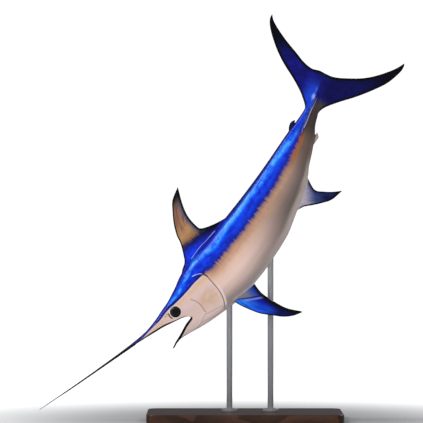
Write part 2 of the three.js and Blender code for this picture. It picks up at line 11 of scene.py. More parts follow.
import bpy
import numpy as np
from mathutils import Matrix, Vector
from mathutils.kdtree import KDTree


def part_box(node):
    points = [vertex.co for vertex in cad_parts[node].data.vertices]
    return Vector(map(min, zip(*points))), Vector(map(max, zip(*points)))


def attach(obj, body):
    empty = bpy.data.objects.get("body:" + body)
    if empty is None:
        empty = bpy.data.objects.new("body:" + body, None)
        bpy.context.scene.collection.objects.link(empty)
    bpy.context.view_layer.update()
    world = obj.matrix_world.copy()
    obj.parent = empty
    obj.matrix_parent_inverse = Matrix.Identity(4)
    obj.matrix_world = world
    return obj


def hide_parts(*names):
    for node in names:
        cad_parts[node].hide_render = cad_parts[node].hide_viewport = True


bl_info = {
    "name": "Museum swordfish",
    "version": (1, 0, 0),
    "blender": (4, 5, 0),
    "location": "View3D > Sidebar > Swordfish",
    "description": "Dresses the packed swordfish: its painted skin, eyes, stand and studio",
    "category": "Object",
}

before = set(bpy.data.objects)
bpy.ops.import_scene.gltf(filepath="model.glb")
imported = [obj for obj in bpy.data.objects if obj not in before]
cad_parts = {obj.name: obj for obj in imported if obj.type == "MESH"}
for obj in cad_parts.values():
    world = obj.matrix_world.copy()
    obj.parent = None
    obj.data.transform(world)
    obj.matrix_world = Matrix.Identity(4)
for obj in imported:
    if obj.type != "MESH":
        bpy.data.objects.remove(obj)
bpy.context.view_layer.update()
BODY = "root"
MM = 0.001

# Pose: angle of the spine above the horizontal, in degrees, and its swing to the fish's left
SPINE_ANGLE = [
    (0, 34.6), (590, 34.6), (825, 39), (1000, 46), (1175, 51),
    (1450, 55.5), (1700, 61), (1950, 66.5), (2200, 69.5), (2400, 70),
]
SWING = [(0, 0), (1150, 0), (1500, 8), (1900, 42), (2200, 78), (2600, 128)]
SPINE_REACH = 2700
BILL_TIP = (-1050, 55)

# Body: height of the back and depth of the belly from the spine, and half the width
BACK = [
    (0, 1.2), (120, 1.2), (300, 2), (400, 4), (500, 6.5), (590, 11), (664, 18), (716, 29),
    (764, 43), (810, 58), (860, 72), (904, 88), (950, 104), (992, 120), (1040, 131),
    (1120, 136), (1250, 137), (1400, 131), (1550, 120), (1700, 105), (1850, 86), (1950, 69),
    (2050, 44), (2110, 32), (2165, 26), (2215, 13),
]
BELLY = [
    (0, 1.2), (100, 3.5), (200, 6), (400, 6.5), (590, 6.5), (640, 40), (700, 104), (737, 134),
    (768, 122.5), (797, 117.5), (840, 122.5), (901, 136), (950, 147), (1008, 158), (1098, 176),
    (1200, 187), (1300, 191), (1400, 188), (1500, 183), (1600, 164), (1700, 145), (1800, 123),
    (1850, 104), (1920, 88), (2000, 67), (2050, 49), (2110, 40), (2165, 28), (2215, 13),
]
HALF_WIDTH = [
    (0, 1.6), (100, 6), (300, 14), (450, 20), (590, 27), (650, 29), (700, 31.5), (750, 36),
    (800, 42), (860, 51), (900, 58), (950, 67), (1000, 76), (1100, 92), (1200, 102),
    (1300, 104), (1450, 97), (1600, 83), (1750, 66), (1900, 48), (2020, 35), (2100, 27),
    (2150, 18), (2215, 4.5),
]
WIDEST_LEVEL = [
    (0, 0), (120, -1), (300, -2.2), (450, -0.5), (590, 2), (700, -6), (800, -14), (900, -18),
    (1050, -16), (1300, -10), (1700, -5), (2000, 0),
]
SQUARE_ABOVE = [(0, 2), (590, 2), (800, 2.3), (1000, 2.3), (1300, 2.15), (2200, 2)]
SQUARE_BELOW = [(0, 2), (590, 2), (760, 1.7), (900, 1.75), (1100, 2.1), (2200, 2)]
KEEL = [(1880, 0), (1960, 5), (2060, 13), (2115, 14), (2155, 9), (2215, 1)]
KEEL_SPAN = 0.19
BILL_END, CHEEK, STALK_START, STALK_END = 590, 950, 1900, 2215

# Gill covers: rear edge as u for each level v, and how they stand proud of the torso
GILL_EDGE = [
    (-178, 1018), (-160, 1026), (-151, 1042), (-133, 1061), (-102, 1079), (-64, 1092),
    (-19, 1098), (25, 1103), (48, 1095), (64, 1080), (80, 1058), (110, 1045), (140, 1042),
]
GILL_RISE, GILL_OVER = 3.5, 70
GILL_THROAT, GILL_CROWN = (-168, -140), (62, 84)
# Steps down behind the edge: how far back and how high, where the cover stands proud, and
# how far back where it lies flat
GILL_STEPS = [
    (0.0, 1.0, 0.0), (0.9, 0.6, 0.6), (0.7, -0.1, 1.2), (-1.6, -0.75, 1.8), (1.6, -1.0, 3.0),
    (5.0, -0.55, 5.5), (10.0, -0.12, 10.0),
]

# Mouth
UPPER_JAW_EDGE = [
    (594, -4), (668, -6.5), (715, -9.5), (762, -13.5), (806, -22.5), (848, -32.5), (872, -40),
    (890, -51),
]
MOUTH_CORNER = (899, -62)
LOWER_JAW_EDGE = [
    (893, -68), (876, -72), (852, -79), (832, -88), (813, -96), (794, -104), (770, -112.5),
    (752, -121), (736, -130),
]
MOUTH_FRONT = [(730, -180), (640, -120), (592, -40)]
MOUTH_STEPS = 60
CUT_WIDTH, CUT_FINE = 160, 72
LIP = {
    "radius": 2.6, "ends": 0.35, "start": 0.06, "run": 0.9, "inset": 1.2, "sunk": 0.5,
    "sides": 12, "steps": 70,
}
GULLET = {"at": (888, -80, 0), "radii": (84, 13, 25), "pitch": 17}
PALATE = {"at": (800, -20, 0), "radii": (86, 7, 17), "pitch": -9}
TONGUE = {"at": (862, -97, 0), "radii": (34, 6, 12), "pitch": 20}

# Eyes and nostrils
EYE = {"u": 858.5, "v": 8, "radius": 28, "depth": 17, "sunk": 7}
EYE_CLEAR = 0.25
EYE_DOME, EYE_DOME_WIDTH, EYE_FRONT = 1.2, 15.0, (2, 12)
NOSTRILS = [(802, 22), (816, 25)]
NOSTRIL = {"radii": (4.6, 2.1, 3.2), "pitch": 25}

# Folds of the head, each as a line, its height, its half width, all in millimetres
FOLDS = {
    "preopercle": ([(960, 2), (971, -18), (976, -45), (974, -67), (971, -83), (970, -96)], -1.5, 3.0),
    "preopercle_back": ([(970, 0), (981, -20), (986, -45), (984, -67), (980, -85)], 0.8, 6.0),
    "jaw_ridge": (
        [(962, -94), (942, -101), (922, -112), (902, -118), (881, -120), (856, -120), (834, -121)],
        1.5, 3.4,
    ),
    "jaw_groove": ([(955, -104), (930, -113), (903, -125), (878, -127), (850, -127)], -1.0, 2.6),
    "opercle_foot": (
        [(956, -99), (976, -109), (1002, -119), (1027, -128), (1044, -135)], -1.0, 2.6,
    ),
    "opercle_ridge": ([(985, -104), (1008, -112), (1030, -120), (1056, -127)], 0.9, 4.0),
    "throat": (
        [(924, -122), (953, -131), (980, -142), (1003, -149), (1026, -150), (1047, -142)],
        -0.9, 2.6,
    ),
    "mouth_corner": ([(876, -34), (893, -48), (902, -62), (912, -72)], -0.9, 2.4),
    "brow": ([(700, 12), (767, 21), (836, 37), (884, 39), (934, 41), (986, 44), (1040, 46)], 1.3, 5.0),
    "cheek_bone": ([(890, -10), (925, -22), (955, -28)], 1.2, 16.0),
    "cheek_hollow": ([(885, -38), (925, -52), (958, -60)], -1.3, 14.0),
}
EYE_RING = {"at": 29.0, "height": 2.6, "half_width": 4.2}
EYE_FOLD = {"at": 38.0, "height": -1.1, "half_width": 3.6, "from": (-0.35, 0.2)}

# Fins, as [u, v]: root inside the body, leading edge out to the tip, trailing edge back
FIRST_DORSAL = {
    "root": [(1000, 108), (1225, 112), (1452, 100)],
    "lead": [
        (1000, 108), (1034, 136), (1078, 154), (1107, 184), (1147, 235), (1168, 275),
        (1209, 324), (1258, 366), (1312, 403), (1391, 421),
    ],
    "trail": [
        (1391, 421), (1330, 353), (1292, 292), (1277, 228), (1283, 198), (1335, 163),
        (1400, 132), (1452, 114),
    ],
    "thick": 11, "edge": 0.9, "rays": 22, "columns": 88, "rows": 38,
}
SECOND_DORSAL = {
    "root": [(1950, 50), (1990, 40), (2034, 28)],
    "lead": [(1950, 50), (1968, 65), (1998, 74), (2020, 71), (2036, 57)],
    "trail": [(2036, 57), (2022, 50), (2026, 42), (2036, 34)],
    "thick": 4.5, "edge": 0.8, "rays": 5, "columns": 24, "rows": 12,
}
FIRST_ANAL = {
    "root": [(1606, -130), (1710, -118), (1806, -96)],
    "lead": [
        (1606, -130), (1642, -161), (1666, -177), (1692, -211), (1722, -248), (1758, -285),
        (1815, -311),
    ],
    "trail": [(1815, -311), (1790, -268), (1772, -226), (1761, -193), (1770, -163), (1806, -112)],
    "thick": 9, "edge": 0.9, "rays": 14, "columns": 56, "rows": 28,
}
SECOND_ANAL = {
    "root": [(1925, -62), (1970, -48), (2016, -34)],
    "lead": [(1925, -62), (1947, -77), (1976, -84), (2000, -88), (2020, -71)],
    "trail": [(2020, -71), (2007, -65), (2004, -56), (2016, -44)],
    "thick": 4.5, "edge": 0.8, "rays": 5, "columns": 24, "rows": 12,
}
TAIL_UPPER = {
    "root": [(2085, 12), (2118, 6), (2140, -1.8)],
    "lead": [
        (2085, 12), (2114, 28), (2146, 55), (2182, 86), (2240, 151), (2298, 225), (2360, 287),
        (2428, 338), (2474, 358), (2502, 355),
    ],
    "trail": [
        (2502, 355), (2466, 330), (2410, 256), (2357, 168), (2329, 121), (2312, 72), (2315, 31),
        (2311, -1.2),
    ],
    "thick": 14, "edge": 1.1, "rays": 16, "columns": 64, "rows": 44,
}
TAIL_LOWER = {
    "root": [(2085, -12), (2118, -6), (2140, 1.2)],
    "lead": [
        (2085, -12), (2120, -40), (2150, -61), (2203, -123), (2254, -190), (2310, -254),
        (2374, -316), (2441, -355), (2476, -365), (2496, -362),
    ],
    "trail": [
        (2496, -362), (2451, -325), (2396, -259), (2354, -189), (2321, -98), (2309, -45),
        (2311, 1.2),
    ],
    "thick": 14, "edge": 1.1, "rays": 16, "columns": 64, "rows": 44,
}
PECTORAL = {
    "root": [(1094, -140), (1156, -150), (1228, -158)],
    "lead": [
        (1094, -140), (1102, -200), (1119, -262), (1135, -308), (1165, -362), (1190, -405),
        (1222, -440), (1262, -466),
    ],
    "trail": [
        (1262, -466), (1230, -398), (1216, -330), (1210, -262), (1215, -222), (1234, -158),
    ],
    "thick": 9, "edge": 0.9, "rays": 14, "columns": 56, "rows": 36,
}
PECTORAL_FROM, PECTORAL_AT, PECTORAL_SLOPE = -140, 34, 0.5
PECTORAL_CREASE, PECTORAL_FOLD, PECTORAL_SOFT = ((1110, -168), (1206, -259)), 0.55, 3
RIGHT_FORWARD, RIGHT_DOWN = 8, 12
# Section of a fin: its nose and thinning to the rear, the flare of its root, and its rays
FOIL_NOSE, FOIL_THINNING = 5, 0.55
FLARE_POWER, FLARE_BASE = 2.2, 0.12
RAY_HEIGHT, RAY_POWER, RAY_START = 0.6, 1.5, 6
EDGE_SHARE, EDGE_SOFTNESS = 0.55, 12

# Markings of the skin as lines in the straight fish
BLUE_EDGE = [
    (560, -3), (633, 1), (706, 14), (767, 23), (836, 39), (884, 41), (934, 43), (986, 46),
    (1032, 49), (1072, 46), (1100, 45), (1112, 42), (1164, 30), (1250, 27), (1332, 25), (1410, 19),
    (1496, 16), (1588, 13), (1683, 6), (1779, 4), (1857, 3), (1925, 2), (2000, 1), (2215, -1),
]
# Line of the azure band, a painted highlight along the back
AZURE_HIGHLIGHT_BAND = [
    (560, 6), (664, 12), (764, 33), (860, 56), (950, 74), (1040, 100), (1116, 119), (1180, 110),
    (1248, 94), (1310, 98), (1380, 100), (1444, 95), (1540, 94), (1624, 86), (1706, 76),
    (1777, 70), (1840, 60), (1899, 46), (1966, 29), (2013, 16), (2100, 10), (2215, 8),
]
DORSAL_TAN_EDGE = [(1100, 214), (1140, 208), (1178, 201), (1215, 190), (1249, 188), (1300, 176)]
LILAC_LINE = [
    (650, 1), (706, 9), (767, 18), (836, 34), (884, 36), (934, 38), (986, 41), (1032, 44),
    (1072, 41), (1092, 34),
]
# White line on top of the gill cover, a painted highlight
GILL_TOP_HIGHLIGHT = [(1052, 78), (1060, 76), (1076, 69), (1090, 58), (1097, 51)]
GILL_TOP_NAVY = [(1050, 73), (1075, 57), (1096, 49), (1103, 36), (1106, 22)]
KEEL_LIGHT = [(2020, 1), (2056, -1), (2102, 0), (2152, -4), (2202, -6)]
# Pale line along the first dorsal fin's foot, a painted highlight
DORSAL_HIGHLIGHT_LINE = [(1118, 141), (1200, 145), (1246, 140), (1290, 138), (1316, 134)]
MARKED_LINES = {
    "keel_light": KEEL_LIGHT, "dorsal_highlight": DORSAL_HIGHLIGHT_LINE,
    "lilac": LILAC_LINE, "gill_highlight": GILL_TOP_HIGHLIGHT, "gill_navy": GILL_TOP_NAVY,
    "upper_lip": UPPER_JAW_EDGE, "lower_lip": LOWER_JAW_EDGE,
    **{name: FOLDS[name][0] for name in (
        "preopercle", "jaw_ridge", "jaw_groove", "opercle_foot", "throat", "mouth_corner")},
}

# Rings of the skin's mesh, from the bill to the tail, and how its roots and stalk are eased
AROUND = 128
SPOKE_GATHER = 0.3
BILL_RINGS, FACE_RINGS, CHEEK_RINGS, TORSO_RINGS, STALK_RINGS = 48, 110, 34, 110, 44
ROOT_FILLET, ROOT_PASSES, LEAST_WEIGHT = (1.5, 13), 10, 0.02
STALK_BLEND, STALK_HEIGHT, STALK_PASSES = (2090, 2160, 2260, 2305), (30, 70), 70
SKIN_SMOOTH, STAND_SMOOTH = 48, 35
LEAST_POINTS = 20000

# Where markings start and end in the straight fish, in millimetres
FOLD_FADE = 0.6
HEAD_SPAN = (640, 1120)
GILL_MARK_END, GILL_TOP = 1150, 70
MOUTH_DEEP, MOUTH_SPAN, MOUTH_TOP = (1.5, 5), (600, 975), -2
FIN_CLEAR, FIN_FADE = 9, (0.3, 9)
FAR_RIM, FAR_BEHIND = 200, -80

# First guesses and tries where a place is searched for
EDGE_GUESS, EDGE_TRIES = 1040.0, 40
SEARCH_STEP, SEARCH_TRIES = 25, 14

# How near points of the mesh are the same, on the seam or by a fin, in metres
SAME_POINT, MERGE_REACH, SEAM_REACH, FIN_NEAR = 2e-6, 5e-6, 6e-6, 0.06

# Stand and studio, with lengths in metres
BASE_CORNER, BASE_CORNER_STEPS, BASE_EDGE_STEPS = 0.06, 16, 5
ROD_INTO_FISH, ROD_INTO_BASE, ROD_ROUND = 0.004, 0.0006, 0.0012
COLLAR_RIM, COLLAR_LIP, COLLAR_GROOVE, COLLAR_ROUND = 0.006, 0.001, 0.0015, 0.0035
FLOOR_RADIUS, SURROUND_RADIUS, SURROUND_GLOW = 48, 50, 1.05
SKY_TINT, SKY_POWER = (0.86, 0.92, 1.0, 1.0), 0.13
SENSOR, CAMERA_X, CAMERA_HEIGHT, VIEW_END = 36.0, -0.17, 1.069, 200


def tone(red, green, blue):
    """A paint colour, given as it looks on a screen from 0 to 255, for a shader."""
    def linear(value):
        share = value / 255
        return share / 12.92 if share <= 0.04045 else ((share + 0.055) / 1.055) ** 2.4
    return (linear(red), linear(green), linear(blue), 1.0)


def paints_along(*rows):
    """Paints along a value, each row the place of one and the paint."""
    return [(at, tone(*paint)) for at, *paint in rows]


# Paints, as they look on a screen from 0 to 255
BLACK, WHITE = tone(6, 6, 10), tone(255, 255, 255)
COBALT, ROYAL, DEEP_BLUE = tone(1, 38, 188), tone(2, 60, 224), tone(2, 10, 130)
AZURE_HIGHLIGHT, SKY_HIGHLIGHT, STALK_BLUE = tone(30, 116, 250), tone(86, 186, 255), tone(2, 26, 190)
HEAD_RIM, BODY_RIM, FACE_NAVY = tone(2, 6, 96), tone(2, 14, 120), tone(2, 12, 120)
FOOT_BLUE, RIDGE_NAVY = tone(2, 18, 168), tone(2, 10, 104)
GOLDEN, COPPER, HAIR_BROWN = tone(204, 158, 108), tone(158, 88, 18), tone(150, 104, 84)
REAR_BROWN, STALK_BROWN, LIMIT_SHADE = tone(90, 74, 66), tone(58, 50, 45), tone(112, 92, 100)
CHEEK_TAN, BROW_TAN, LILAC = tone(206, 168, 136), tone(208, 170, 128), tone(206, 188, 216)
GILL_GAP_SHADE, BEHIND_GILL_LIGHT = tone(96, 60, 50), tone(242, 224, 222)
GILL_NAVY, GILL_HIGHLIGHT, NOSTRIL_SHADE = tone(4, 10, 96), tone(236, 238, 255), tone(70, 46, 44)
EYE_PALE, EYE_FOLD_SHADOW, EYE_RIM = tone(232, 222, 200), tone(46, 12, 8), tone(16, 12, 14)
UPPER_LIP, UPPER_LIP_FRONT = tone(34, 10, 6), tone(20, 4, 4)
MOUTH_FLESH, GULLET_SHADE = tone(158, 100, 92), tone(58, 22, 20)
BILL_NAVY, BILL_BROWN = tone(6, 14, 70), tone(62, 18, 10)
KEEL_LILAC, HIGHLIGHT_PALE = tone(206, 196, 232), tone(206, 220, 255)
FIN_TAN, FIN_GOLD, FIN_BROWN = tone(164, 122, 96), tone(188, 144, 88), tone(140, 102, 84)
FIN_FOOT_BROWN, FIN_RED = tone(138, 96, 66), tone(110, 54, 38)
FIN_SLATE, FIN_TIP_BLACK = tone(72, 84, 112), tone(26, 24, 26)
FOOT_COBALT, FOOT_ROYAL, FOOT_NAVY = tone(3, 34, 190), tone(6, 56, 226), tone(2, 8, 128)
FOOT_BLACK, LIMIT_NAVY = tone(4, 4, 34), tone(9, 12, 48)
TAIL_NAVY, TAIL_BLUE, TAIL_LOWER_NAVY = tone(1, 1, 92), tone(2, 5, 118), tone(1, 0, 58)
TAIL_DARK, TAIL_AZURE_AND_SHINE = tone(1, 0, 38), tone(14, 78, 236)
TAIL_GLEAM, TAIL_BROWN = tone(206, 226, 255), tone(70, 62, 64)
BLADE_AZURE, BLADE_BLUE, BLADE_DEEP = tone(16, 92, 240), tone(3, 22, 168), tone(2, 10, 128)
BLADE_SKY, BLADE_NAVY, BLADE_EDGE = tone(60, 160, 255), tone(2, 6, 84), tone(2, 6, 60)
BLADE_HIGHLIGHT, CREASE_SHADE = tone(150, 158, 244), tone(6, 16, 90)
FOLD_GREY_AND_SHADE, FOLD_BLUE, FOLD_NAVY = tone(128, 126, 140), tone(24, 72, 176), tone(8, 30, 130)
ANAL_GREY, ANAL_BLUE, ANAL_NAVY = tone(172, 164, 176), tone(48, 66, 122), tone(5, 10, 62)
ANAL_EDGE, ANAL_RAYS = tone(16, 32, 96), tone(30, 34, 60)
SECOND_DORSAL_NAVY = tone(6, 12, 92)
SECOND_ANAL_PINK, SECOND_ANAL_GREY = tone(186, 172, 168), tone(150, 132, 128)
PUPIL, EYE_EDGE_BLACK = tone(3, 3, 6), tone(12, 10, 12)
IRIS_BLUE, IRIS_BROWN = tone(10, 12, 26), tone(46, 36, 34)
WOOD_BROWN, PORE_BROWN = tone(58, 36, 24), tone(14, 8, 6)
STEEL_GREY, STEEL_PALE, FLOOR_GREY = tone(196, 198, 202), tone(218, 219, 222), tone(170, 170, 174)

# Paints down the side, by their share of the way from the blue's edge to the belly; the grey band low
# on the side is partly painted shade, darker to the rear, and the pale strip at the belly's edge is
# partly painted light from below
FRONT_FLANK = paints_along(
    (0.0, 170, 126, 108), (0.07, 186, 140, 116), (0.15, 197, 154, 130), (0.3, 222, 189, 171),
    (0.48, 225, 195, 184), (0.68, 196, 170, 161), (0.84, 158, 141, 135), (0.92, 160, 148, 144),
    (1.0, 200, 192, 188),
)
REAR_FLANK = paints_along(
    (0.0, 160, 116, 96), (0.1, 172, 132, 110), (0.2, 168, 134, 114), (0.4, 138, 115, 106),
    (0.55, 118, 101, 95), (0.75, 98, 87, 83), (0.8, 112, 101, 96), (0.88, 160, 146, 140),
    (0.95, 178, 164, 158), (1.0, 176, 166, 162),
)
HEAD_PINKS = paints_along(
    (0.0, 214, 186, 176), (0.12, 219, 186, 164), (0.26, 216, 189, 188), (0.5, 219, 190, 181),
    (0.75, 228, 200, 193), (0.9, 230, 205, 198), (1.0, 222, 202, 198),
)

# Lines of the head, painted shade along its grooves and a painted highlight along the jaw's ridge:
# name, half widths in full and to nothing, strength and paint
FOLD_LIGHT_AND_SHADE = [
    ("preopercle", 0.6, 5.0, 0.6, tone(146, 104, 88)),
    ("jaw_groove", 0.4, 3.4, 0.35, tone(150, 112, 102)),
    ("opercle_foot", 0.4, 3.4, 0.45, tone(150, 112, 100)),
    ("throat", 0.4, 3.2, 0.4, tone(150, 114, 106)),
    ("mouth_corner", 0.4, 2.6, 0.4, tone(150, 112, 104)),
    ("jaw_ridge", 0.8, 4.0, 0.6, tone(244, 226, 222)),
]
CHEEK_PATCH = (1.035, -0.055)
SKIN_SPECULAR = 0.15

# Edges of the pupil and the iris in millimetres, fine lines of the steel for each metre across
# and along, how much lighter the wood's grain is, and where the floor turns white, in metres
PUPIL_EDGE, IRIS_EDGE = (15.0, 17.0), (22.5, 24.5)
ROD_LINES, COLLAR_LINES = (900, 12), (260, 900)
GRAIN_LIGHTER = 2.4
WHITE_FROM = (0.5, 2.4)


def through(table):
    """Smooth curve through a table of pairs that never overshoots, level past its ends."""
    x, y = np.array(table, float).T
    slope = np.diff(y) / np.diff(x)
    inner = np.zeros(len(slope) - 1)
    same = slope[:-1] * slope[1:] > 0
    inner[same] = 2 * slope[:-1][same] * slope[1:][same] / (slope[:-1][same] + slope[1:][same])
    tangent = np.concatenate([slope[:1], inner, slope[-1:]])

    def read(at):
        at = np.clip(at, x[0], x[-1])
        i = np.clip(np.searchsorted(x, at, side="right") - 1, 0, len(slope) - 1)
        h = x[i + 1] - x[i]
        t = (at - x[i]) / h
        return (
            (2 * t**3 - 3 * t**2 + 1) * y[i] + (t**3 - 2 * t**2 + t) * h * tangent[i]
            + (3 * t**2 - 2 * t**3) * y[i + 1] + (t**3 - t**2) * h * tangent[i + 1]
        )
    return read


back, belly, half_width = through(BACK), through(BELLY), through(HALF_WIDTH)
widest_level, keel, gill_edge = through(WIDEST_LEVEL), through(KEEL), through(GILL_EDGE)
square_above, square_below = through(SQUARE_ABOVE), through(SQUARE_BELOW)
spine_angle, swing = through(SPINE_ANGLE), through(SWING)
blue_edge, azure_highlight_band = through(BLUE_EDGE), through(AZURE_HIGHLIGHT_BAND)
dorsal_tan_edge = through(DORSAL_TAN_EDGE)

SPINE_STEPS = np.arange(SPINE_REACH + 1)
STEP_ANGLES = np.radians(spine_angle(SPINE_STEPS[:-1] + 0.5))
SPINE_X = BILL_TIP[0] + np.concatenate([[0], np.cumsum(np.cos(STEP_ANGLES))])
SPINE_Z = BILL_TIP[1] + np.concatenate([[0], np.cumsum(np.sin(STEP_ANGLES))])


def smooth(value, low, high):
    """0 up to low and 1 from high on, smooth between."""
    t = np.clip((value - low) / (high - low), 0, 1)
    return t * t * (3 - 2 * t)


def place(u, v, w):
    """Points of the straight fish, in millimetres, bent into the pose, in metres."""
    u, v, w = np.broadcast_arrays(np.asarray(u, float), v, w)
    at = np.clip(u, 0, SPINE_REACH - 1)
    angle = np.radians(spine_angle(at))
    cos, sin = np.cos(angle), np.sin(angle)
    x = np.interp(at, SPINE_STEPS, SPINE_X) + (u - at) * cos
    z = np.interp(at, SPINE_STEPS, SPINE_Z) + (u - at) * sin
    turn = np.arctan(swing(at + 1) - swing(at))
    slide = w * np.sin(turn)
    return MM * np.stack(
        [x - v * sin - slide * cos, -(swing(at) + w * np.cos(turn)), z + v * cos - slide * sin],
        axis=-1,
    )


def straighten(points):
    """Posed points, in metres, back in the straight fish, in millimetres, as u, v, w."""
    x, y, z = np.asarray(points, float).T / MM
    coarse = np.arange(0, SPINE_REACH, SEARCH_STEP)
    away = (x[:, None] - SPINE_X[coarse]) ** 2 + (z[:, None] - SPINE_Z[coarse]) ** 2
    u = coarse[away.argmin(1)].astype(float)
    for _ in range(SEARCH_TRIES):
        angle = np.radians(spine_angle(u))
        cos, sin = np.cos(angle), np.sin(angle)
        dx = x - np.interp(u, SPINE_STEPS, SPINE_X)
        dz = z - np.interp(u, SPINE_STEPS, SPINE_Z)
        turn = np.arctan(swing(u + 1) - swing(u))
        w = (-y - swing(u)) / np.cos(turn)
        u = np.clip(u + dx * cos + dz * sin + w * np.sin(turn), 0, SPINE_REACH - 1)
    return u, dz * cos - dx * sin, w


def skin(u, angle):
    """Level and width of the skin at u, with the angle counted from the left over the back."""
    cos, sin = np.cos(angle), np.sin(angle)
    square = np.where(sin >= 0, square_above(u), square_below(u))
    level = widest_level(u)
    reach = np.where(sin >= 0, back(u) - level, belly(u) + level)
    v = level + reach * np.sign(sin) * np.abs(sin) ** (2 / square)
    w = half_width(u) * np.sign(cos) * np.abs(cos) ** (2 / square)
    crest = np.clip(1 - np.abs(sin) / KEEL_SPAN, 0, 1) ** 1.4
    return v, w + np.sign(cos) * keel(u) * crest * (u > KEEL[0][0])


def skin_width(u, v):
    """Half the body's width at u and v."""
    level = widest_level(u)
    above = v >= level
    square = np.where(above, square_above(u), square_below(u))
    reach = np.where(above, back(u) - level, belly(u) + level)
    inside = np.clip(np.abs(v - level) / reach, 0, 1)
    return half_width(u) * (1 - inside**square) ** (1 / square)


def line_through(table, samples=400):
    """Smooth line through a table of points, read by the share of its length."""
    points = np.array(table, float)
    last = len(points) - 1
    along = np.linspace(0, last, samples + 1)
    i = along.astype(int)
    f = (along - i)[:, None]
    here, after = points[i], points[np.minimum(i + 1, last)]
    start = (after - points[np.maximum(i - 1, 0)]) / 2
    end = (points[np.minimum(i + 2, last)] - here) / 2
    path = (
        (2 * here - 2 * after + start + end) * f**3
        + (-3 * here + 3 * after - 2 * start - end) * f**2 + start * f + here
    )
    length = np.concatenate([[0], np.cumsum(np.hypot(*np.diff(path, axis=0).T))])

    def read(share):
        at = np.clip(share, 0, 1) * length[-1]
        return np.stack([np.interp(at, length, path[:, 0]), np.interp(at, length, path[:, 1])], -1)
    return read


def beside(u, v, table, samples=48):
    """How far points lie to the left of a line's run, less than 0 on its right, and how far
    they lie past its ends."""
    path = line_through(table)(np.linspace(0, 1, samples + 1))
    nearest = np.full(len(u), 1e9)
    left, past = np.zeros(len(u)), np.zeros(len(u))
    for k, ((au, av), (bu, bv)) in enumerate(zip(path[:-1], path[1:])):
        du, dv = bu - au, bv - av
        length = math.hypot(du, dv)
        along = ((u - au) * du + (v - av) * dv) / length
        away = np.hypot(u - au - np.clip(along, 0, length) * du / length,
                        v - av - np.clip(along, 0, length) * dv / length)
        closer = away < nearest
        nearest[closer] = away[closer]
        across = (du * (v - av) - dv * (u - au)) / length
        before = np.maximum(-along, 0) * (k == 0)
        after = np.maximum(along - length, 0) * (k == samples - 1)
        inner = np.where(before + after > 0, across, np.sign(across) * away)
        left[closer], past[closer] = inner[closer], (before + after)[closer]
    return left, past


def distance(u, v, table, samples=48):
    """How far points lie from a line."""
    return np.hypot(*beside(u, v, table, samples))


def hump(away, half_width_mm):
    """Round bump of height 1 that fades over its half width."""
    return np.exp(-((away / half_width_mm) ** 2))


def gill_proud(u, v):
    """How far the gill covers stand proud, from 0 to 1."""
    along = smooth(u, CHEEK, CHEEK + GILL_OVER)
    return along * smooth(v, *GILL_THROAT) * (1 - smooth(v, *GILL_CROWN))


def relief(u, v):
    """Height of the head's folds and eye rings above the plain skin."""
    height = np.zeros(len(u))
    near = (u > HEAD_SPAN[0]) & (u < HEAD_SPAN[1])
    u, v = u[near], v[near]
    folds = np.zeros(len(u))
    for table, tall, wide in FOLDS.values():
        folds += tall * hump(distance(u, v, table), wide)
    from_eye = np.hypot(u - EYE["u"], v - EYE["v"])
    folds += EYE_RING["height"] * hump(from_eye - EYE_RING["at"], EYE_RING["half_width"])
    facing = np.cos(np.arctan2(v - EYE["v"], u - EYE["u"]) - math.pi)
    folds += (
        EYE_FOLD["height"] * hump(from_eye - EYE_FOLD["at"], EYE_FOLD["half_width"])
        * smooth(facing, *EYE_FOLD["from"])
    )
    height[near] = folds
    return height


def mesh_object(name, points, faces):
    """A new object from points, in metres, and faces, with its normals pointing out."""
    mesh = bpy.data.meshes.new(name)
    mesh.from_pydata([tuple(p) for p in points], [], faces)
    mesh.update()
    made = bpy.data.objects.new(name, mesh)
    bpy.context.scene.collection.objects.link(made)
    face_out(made)
    return made


def only(piece):
    """Selects one piece alone and makes it the active one."""
    bpy.ops.object.select_all(action="DESELECT")
    piece.select_set(True)
    bpy.context.view_layer.objects.active = piece


@contextmanager
def editing(piece, kind="VERT", picked=None):
    """Opens a piece for changes to all of it, or to the points, edges or faces picked."""
    only(piece)
    bpy.ops.object.mode_set(mode="EDIT")
    bpy.ops.mesh.select_mode(type=kind)
    bpy.ops.mesh.select_all(action="SELECT" if picked is None else "DESELECT")
    if picked is not None:
        bpy.ops.object.mode_set(mode="OBJECT")
        mesh = piece.data
        items = {"VERT": mesh.vertices, "EDGE": mesh.edges, "FACE": mesh.polygons}[kind]
        items.foreach_set("select", picked)
        bpy.ops.object.mode_set(mode="EDIT")
    yield
    bpy.ops.object.mode_set(mode="OBJECT")


def face_out(piece):
    """Turns the faces of a closed piece outwards."""
    with editing(piece):
        bpy.ops.mesh.normals_make_consistent(inside=False)


def points_of(piece):
    """The piece's points as an array."""
    flat = np.empty(len(piece.data.vertices) * 3)
    piece.data.vertices.foreach_get("co", flat)
    return flat.reshape(-1, 3)


def grid_faces(rows, columns, closed=False, start=0):
    """Faces of a grid whose points run row by row."""
    faces = []
    for k in range(rows - 1):
        for j in range(columns if closed else columns - 1):
            after = (j + 1) % columns
            here, above = start + k * columns, start + (k + 1) * columns
            faces.append((here + j, above + j, above + after, here + after))
    return faces


